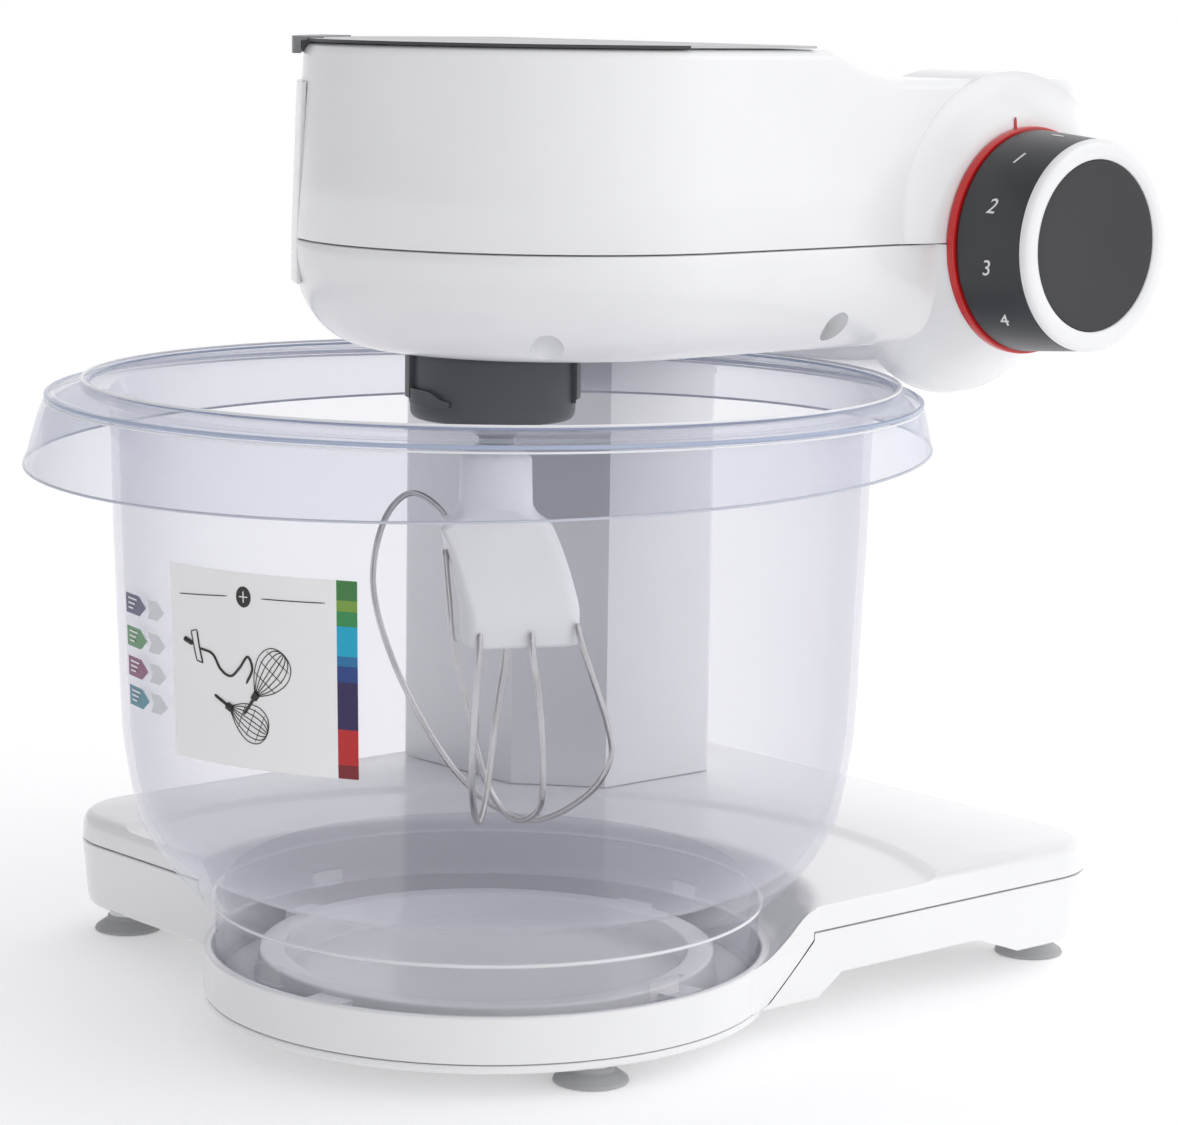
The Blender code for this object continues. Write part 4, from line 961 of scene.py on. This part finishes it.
def whisk_drawing(x, y, turn, size):
    """A line drawing of a balloon whisk: nested loops on a short tapered handle."""
    a = radians(turn)

    def place(u, v):
        return x + u * cos(a) - v * sin(a), y + u * sin(a) + v * cos(a)

    lines = []
    for width in (1, 0.72, 0.42, 0.12):
        loop = [(0, 0.06 * width), (0.28, 0.26 * width), (0.62, 0.36 * width), (0.9, 0.26 * width), (1, 0),
                (0.9, -0.26 * width), (0.62, -0.36 * width), (0.28, -0.26 * width), (0, -0.06 * width)]
        lines.append(label_line([place(size * u, size * v * 1.05) for u, v in loop], 0.28))
    for reach in (0.3, 0.55, 0.8):
        lines.append(label_line([place(size * reach, size * 0.3 * v) for v in (-1, 0, 1)], 0.2, 3))
    lines.append(label_line([place(-0.5 * size, 0), place(0, 0)], 0.9))
    lines.append(label_line([place(-0.12 * size, 0), place(0.04 * size, 0)], 2.2))
    return lines


def hook_drawing(x, y):
    """A line drawing of a dough hook: a round flange on a shaft, and a wavy arm."""
    flange = [label_line([(x - 1, y + 4.4), (x, y - 0.5), (x + 1.2, y - 4.6)], 0.5),
              label_line([(x - 3.6, y + 3.8), (x - 2.6, y), (x - 1.4, y - 4.2)], 0.35),
              label_line([(x - 1, y + 4.4), (x - 3.6, y + 3.8)], 0.35),
              label_line([(x + 1.2, y - 4.6), (x - 1.4, y - 4.2)], 0.35),
              label_line([(x - 6.6, y + 1.4), (x - 3, y + 0.4)], 1.5)]
    arm = label_line([(x, y - 0.6), (x + 5.4, y - 1.6), (x + 8.4, y - 5.4), (x + 12.2, y - 7),
                      (x + 15.6, y - 4.4),
                      (x + 18.6, y - 1), (x + 20.2, y - 4.2), (x + 18, y - 8.4)], 0.75)
    return flange + [arm]


def decal(name, mesh, material):
    piece(name, mesh, material, "bowl", slot="white_plastic")


STRIP_LOW, STRIP_HEIGHT = 96, 54.2
STRIP_COLOURS = (
    # name, lowest share of the strip, colour; each ends where the one before it starts
    ("leaf", 0.9, (0.045, 0.21, 0.05)), ("lime", 0.845, (0.19, 0.36, 0.045)), ("green", 0.77, (0.03, 0.27, 0.08)),
    ("cyan", 0.62, (0, 0.4, 0.62)), ("sky", 0.57, (0.01, 0.17, 0.38)), ("blue", 0.49, (0.012, 0.05, 0.24)),
    ("violet", 0.25, (0.025, 0.012, 0.09)), ("red", 0.07, (0.52, 0.012, 0.015)),
    ("wine", 0, (0.2, 0.006, 0.012)),
)
TAG_COLOURS = (("indigo", 133, (0.03, 0.035, 0.13)), ("green", 123.5, (0.05, 0.24, 0.07)),
               ("plum", 114.8, (0.2, 0.02, 0.13)), ("teal", 106.3, (0.01, 0.2, 0.28)))


def build_label():
    """The paper label and the clear sticker beside it, both generic: drawings and colours, and no words."""
    left, strip, right = 177.5, 208.9, 212
    paper = ((left, 94.6), (strip, STRIP_LOW), (strip, STRIP_LOW + STRIP_HEIGHT), (left, 149))
    decal("paper_label", sticker(paper, 0.08, 0.16), "paper")
    high = STRIP_LOW + STRIP_HEIGHT
    for name, share, color in STRIP_COLOURS:
        low = STRIP_LOW + STRIP_HEIGHT * share
        band = sticker(((strip, low), (right, low), (right, high), (strip, high)), 0.08, 0.16, 4, 3)
        decal(f"label_strip_{name}", band, printed(name, color))
        high = low
    drawing = hook_drawing(-17, 5.5) + whisk_drawing(4.5, -5.6, 52, 15) + whisk_drawing(-4.8, -10.4, -25, 14)
    drawing += [label_line([(-25.5, 19.2), (-5.4, 20.6)], 0.3), label_line([(6.8, 20.9), (26.8, 21.2)], 0.3)]
    piece("label_drawings", merged(drawing), "print", "bowl", slot="black_plastic")
    piece("label_disc", print_polygon(round_outline(0.6, 20.9, 2.6, 2.9), 0.26, 0.08), "print", "bowl",
          slot="black_plastic")
    cross = [label_line([(-0.9, 20.9), (2.1, 20.9)], 0.4), label_line([(0.6, 19.3), (0.6, 22.5)], 0.4)]
    decal("label_cross", merged(cross), "ink")
    for name, z, color in TAG_COLOURS:
        arrow = [(160.6, z - 3.1), (166.8, z - 2.6), (169.4, z + 0.4), (166.8, z + 3.1), (160.6, z + 2.6)]
        decal(f"tag_{name}", print_polygon(arrow, 0.1, 0.12), printed(name, color))
        for k in range(3):
            row = z + 1.5 - 1.4 * k
            bar = [(162, row - 0.28), (166 - 0.8 * k, row), (166 - 0.8 * k, row + 0.45), (162, row + 0.2)]
            decal(f"tag_{name}_bar_{k + 1}", print_polygon(bar, 0.22, 0.06), "ink")
        flag = [(169.9, z - 2.3), (173.2, z - 2), (175.4, z + 0.6), (173.2, z + 3.4), (169.9, z + 3.2),
                (171, z + 0.5)]
        piece(f"tag_{name}_pale", print_polygon(flag, 0.1, 0.08), "frost", "bowl", slot="clear_plastic")


def printed(name, color):
    return moulded(f"{name} print", [0.88 * c for c in color], color, 0.32, 0.42, 300, 0.006)


def build_bowl():
    piece("clear_bowl", bowl_mesh(), "clear", "bowl", "bowl", sharp=40)
    # painted highlight: a bright line round the clear bowl's foot
    foot_highlight_line = turned([(81.4, 38.2), (82.3, 38.8), (81.9, 39.5), (81.1, 38.9)], 180)
    piece("bowl_foot_painted_highlight", foot_highlight_line, "painted_line", "bowl", sharp=60, slot="clear_plastic")
    piece("clear_splash_ring", ring_mesh(ring_profile()), "clear ring", "splash_ring", "splash_ring",
          sharp=40)
    # painted highlight and painted shade lines riding on the clear ring
    for name, material, *place in RING_PAINTED_LINES:
        piece(f"ring_painted_line_{name}", painted_line(*place), material, "splash_ring", slot="clear_plastic")


# ---- platform and column

WING_LOW_X, WING_HIGH_X, WING_LOW_Y, WING_HIGH_Y = -44, 200, -74.5, 172
WING_CORNER, WING_TOP, WING_SEAM, LEG_BOTTOM = 27, 41, 32, 10.8
CRADLE_RADIUS, CRADLE_LIP, CRADLE_FLOOR, CRADLE_SEAM, CRADLE_BOTTOM = 84.5, 25, 14.6, 11.4, 8.4
COLUMN_X, COLUMN_Y, COLUMN_RADIUS, COLUMN_EDGE = (95, 165), (80, 165), 46, 4
COLUMN_SEAM_Y = (122.3, 122.7)  # both sides of the groove between its halves
COVE_RADIUS = 141  # of the column's hollow face behind the bowl
RELEASE_PLACE = (160, 143, 120)


def wing_outline(inset):
    x0, x1 = WING_LOW_X + inset, WING_HIGH_X - inset
    y0, y1 = WING_LOW_Y + inset, WING_HIGH_Y - inset
    r = max(WING_CORNER - inset, 1)
    return (arc(x1 - r, y1 - r, r, 0, 90, 14) + arc(x0 + r, y1 - r, r, 90, 180, 14)
            + arc(x0 + r, y0 + r, r, 180, 270, 14) + arc(x1 - r, y0 + r, r, 270, 360, 14))


def wing_block(levels):
    return loft([[(x, y, z) for x, y in wing_outline(inset)] for z, inset in levels])


def platform_top():
    seam = WING_SEAM + 0.25
    levels = [(seam, 0.4), (seam + 0.35, 0.05), (37, 0.35), (38.6, 0.8), (39.8, 1.5), (40.6, 2.6),
              (WING_TOP, 4.2)]
    block = wing_block(levels)
    dish = bend([(84.5, 25), (87.5, 27.2), (91.5, 32), (95.2, 37), (98.5, 39.2), (104, 39.5)], 5)
    rise = bend([(130, 39.5), (134.5, 39.7), (138, 40.5), (140.5, 41), (143, 41.2)], 4)
    cutter = [(0, 5), (83, 5), (83, 25)] + dish + rise + [(143, 60), (0, 60)]
    shell = combine(block, turned(cutter, 160))
    low = [(83, CRADLE_SEAM), (84.5, CRADLE_SEAM), (87, 13.2), (98, WING_SEAM - 2), (98.4, 38.9)]
    ramp = turned(low + dish[:-6][::-1] + [(83, 25)], 160)
    within = wing_block([(CRADLE_SEAM - 1, 0.25), (60, 0.25)])
    shell = join(shell, meet(ramp, within))
    cup = [(0, CRADLE_SEAM), (CRADLE_RADIUS, CRADLE_SEAM), (CRADLE_RADIUS, CRADLE_LIP + 0.1),
           (81.9, CRADLE_LIP + 0.1), (81.6, CRADLE_FLOOR), (69, CRADLE_FLOOR), (68, 23.5), (60, 23.5),
           (59, CRADLE_FLOOR + 1), (0, CRADLE_FLOOR + 1)]
    shell = join(shell, turned(rounded(cup, 0.9, 4), 160))
    for k in range(4):
        lug = box((66, -6, 19), (75.5, 6, 22))
        lug.transform(Matrix.Rotation(radians(90 * k + 12), 4, "Z"))
        shell = join(shell, lug)
    return shell


def platform_bottom():
    block = wing_block([(LEG_BOTTOM, 3), (LEG_BOTTOM + 0.8, 2.2), (14, 1.6), (WING_SEAM - 0.6, 0.05),
                        (WING_SEAM - 0.25, 0.4)])
    arch = prism_y([(69, 5), (69, 12), (77, 18), (136, 18), (158, 10.2), (158, 5)], -100, 200)
    low = CRADLE_SEAM - 0.3
    under_dish = [(0, low), (84.6, low), (87.1, 12.9), (98.2, WING_SEAM - 2.5), (98.9, 50), (0, 50)]
    shell = combine(block, arch, turned(under_dish, 160))
    disc = turned(rounded([(0, CRADLE_BOTTOM), (82.8, CRADLE_BOTTOM), (84.2, CRADLE_BOTTOM + 1), (84.2, low),
                           (0, low)], 0.5), 160)
    return join(shell, disc)


def foot_mesh(node):
    x, y = sum(local(node, 0)) / 2, sum(local(node, 1)) / 2
    top = local(node, 2)[1]
    cup = [(0, 2), (6.5, 1.3), (10, 0.05), (11, 0.4), (10.7, 1.3), (8.4, 3), (7, 3.8), (6.6, 5.2), (0, 5.2)]
    return turned(rounded(cup, 0.3), 48, (x, y)), turned(rounded(plug(6.2, 4.6, top), 0.3), 48, (x, y))


def column_outline(inset):
    r = COLUMN_RADIUS - inset
    x0, x1, low = COLUMN_X[0] + inset, COLUMN_X[1] - inset, WING_TOP + 0.3
    points = [(x0, low)] + arc(PIVOT_X, PIVOT_Z, r, 180, -42, 56)
    end = Vector(points[-1])
    back = [(x1 + 0.38 * (end.x - x1), end.y - 10), (x1 + 0.8, end.y - 24), (x1, end.y - 38), (x1, low)]
    return points[:-1] + bend([points[-2], end] + back, 6)[6:]


def column_half(y0, y1, seam_at_high):
    """Half of the column's casing, with soft outer edges and a small groove at its seam."""
    rows = []
    for k in range(5, -1, -1):
        angle = radians(90 * k / 5)
        rows.append((y0 + COLUMN_EDGE - COLUMN_EDGE * sin(angle), COLUMN_EDGE * (1 - cos(angle))))
    rows += [(y1 - 0.4, 0), (y1, 0.4)]
    if not seam_at_high:
        rows = [(y0 + y1 - y, inset) for y, inset in reversed(rows)]
    loops = [[(x, y, z) for x, z in column_outline(inset)] for y, inset in rows]
    cove = turned(plug(COVE_RADIUS, 20, 320), 200)
    return combine(loft(loops), cove)


def build_base():
    piece("platform_casing_top", platform_top(), "white", "base", "base_top_shell", sharp=30)
    piece("platform_casing_low", platform_bottom(), "white", "base", "base_bottom_shell", sharp=30)
    for name in ("front", "right", "left", "rear"):
        cup, stem = foot_mesh(f"foot_{name}")
        piece(f"suction_cup_{name}", cup, "rubber", "base", f"foot_{name}")
        piece(f"foot_stem_{name}", stem, "white satin", "base", slot="white_plastic")
    inner = column_half(COLUMN_Y[0], COLUMN_SEAM_Y[0], True)
    outer = column_half(COLUMN_SEAM_Y[1], COLUMN_Y[1], False)
    piece("column_casing_inner", inner, "white", "base", "column_inner_shell", sharp=30)
    piece("column_casing_outer", outer, "white", "base", "column_outer_shell", sharp=30)
    cap = turned(rounded([(0, 0), (8.8, 0), (8.8, 7.6), (0, 9.2)], 1), 64)
    piece("release_cap", turn_to(cap, RELEASE_PLACE, 90, "Y"), "hub", "release", "release_button")


KEPT = {
    "hub": "cord_gland top_drive_coupling front_drive_socket motor_fan speed_switch",
    "steel": "pivot_shaft tilt_spring latch_bar base_screw_1 base_screw_2 base_screw_3 base_screw_4"
             " chassis_screw_1 chassis_screw_2 ring_gear motor_stator motor_shaft motor_worm drive_shaft"
             " tool_spindle planet_gear knob_shaft",
    "zinc": "arm_chassis column_frame gearbox_housing",
    "bronze": "pivot_bush_near pivot_bush_far motor_bearing_front motor_bearing_rear worm_wheel",
    "copper": "motor_rotor capacitor",
    "board": "control_board",
}


def finish_kept_nodes():
    """Gives each carried CAD node its own finish."""
    for material, names in KEPT.items():
        for name in names.split():
            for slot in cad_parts[name].material_slots:
                slot.material = MATERIALS[material]


# ---- studio


FLOOR_HALF = 60  # metres
FLOOR_COLOUR, FLOOR_GLOW = (0.97, 0.97, 0.972, 1), 0.2
BRIGHT_SIDE, DARK_SIDE = (1.22, 1.22, 1.23, 1), (0.36, 0.36, 0.375, 1)
TO_DARK_SIDE = (-0.88, 0.43, 0.18)
KEY_PLACE, KEY_SIZE, KEY_POWER = (1.3, -1.6, 1.3), 1.2, 3  # metres and watts


def build_studio():
    floor = bpy.data.meshes.new("floor")
    half = FLOOR_HALF
    floor.from_pydata([(-half, -half, 0), (half, -half, 0), (half, half, 0), (-half, half, 0)], [],
                      [(0, 1, 2, 3)])
    ground = placed("floor", floor)
    pale = Nodes("pale floor")
    pale.put(Base_Color=FLOOR_COLOUR, Roughness=0.8, Specular_IOR_Level=0)
    pale.put(Emission_Color=(1, 1, 1, 1), Emission_Strength=FLOOR_GLOW)
    floor.materials.append(pale.material)

    world = bpy.data.worlds.new("studio")
    bpy.context.scene.world = world
    world.use_nodes = True
    nodes, links = world.node_tree.nodes, world.node_tree.links
    background = nodes["Background"]
    background.inputs["Strength"].default_value = 1
    direction = nodes.new("ShaderNodeTexCoord").outputs["Generated"]
    side = nodes.new("ShaderNodeVectorMath")
    side.operation = "DOT_PRODUCT"
    side.inputs[1].default_value = TO_DARK_SIDE
    links.new(direction, side.inputs[0])
    tone = nodes.new("ShaderNodeValToRGB")
    tone.color_ramp.elements[0].position = 0.3
    tone.color_ramp.elements[0].color = BRIGHT_SIDE
    tone.color_ramp.elements[1].position = 0.9
    tone.color_ramp.elements[1].color = DARK_SIDE
    share = nodes.new("ShaderNodeMapRange")
    share.inputs["From Min"].default_value = -1
    links.new(side.outputs["Value"], share.inputs["Value"])
    links.new(share.outputs["Result"], tone.inputs["Fac"])
    links.new(tone.outputs["Color"], background.inputs["Color"])

    target = Vector((AXIS_X + 30, AXIS_Y, 150)) * MM
    light = bpy.data.lights.new("key", "AREA")
    light.shape = "DISK"
    light.size = KEY_SIZE
    light.energy = KEY_POWER
    lamp = placed("key", light)
    lamp.location = KEY_PLACE
    lamp.rotation_euler = (target - Vector(KEY_PLACE)).to_track_quat("-Z", "Y").to_euler()


def build_camera():
    yaw, pitch, roll = (radians(a) for a in (CAMERA_YAW, CAMERA_PITCH, CAMERA_ROLL))
    forward = Vector((sin(yaw) * cos(pitch), cos(yaw) * cos(pitch), -sin(pitch)))
    right = Vector((cos(yaw), -sin(yaw), 0))
    up = right.cross(forward)
    right, up = right * cos(roll) + up * sin(roll), up * cos(roll) - right * sin(roll)
    data = bpy.data.cameras.new("camera")
    data.lens = CAMERA_LENS
    data.sensor_width = 36
    camera = placed("camera", data)
    place = (Vector(CAMERA_PLACE) + Vector((AXIS_X, AXIS_Y, 0))) * MM
    camera.matrix_world = Matrix.Translation(place) @ Matrix((right, up, -forward)).transposed().to_4x4()
    bpy.context.scene.camera = camera


build_camera()
build_studio()
build_arm()
build_covers()
build_knob()
build_whisk()
build_bowl()
build_label()
build_base()
finish_kept_nodes()

bpy.context.scene.view_settings.view_transform = "Standard"
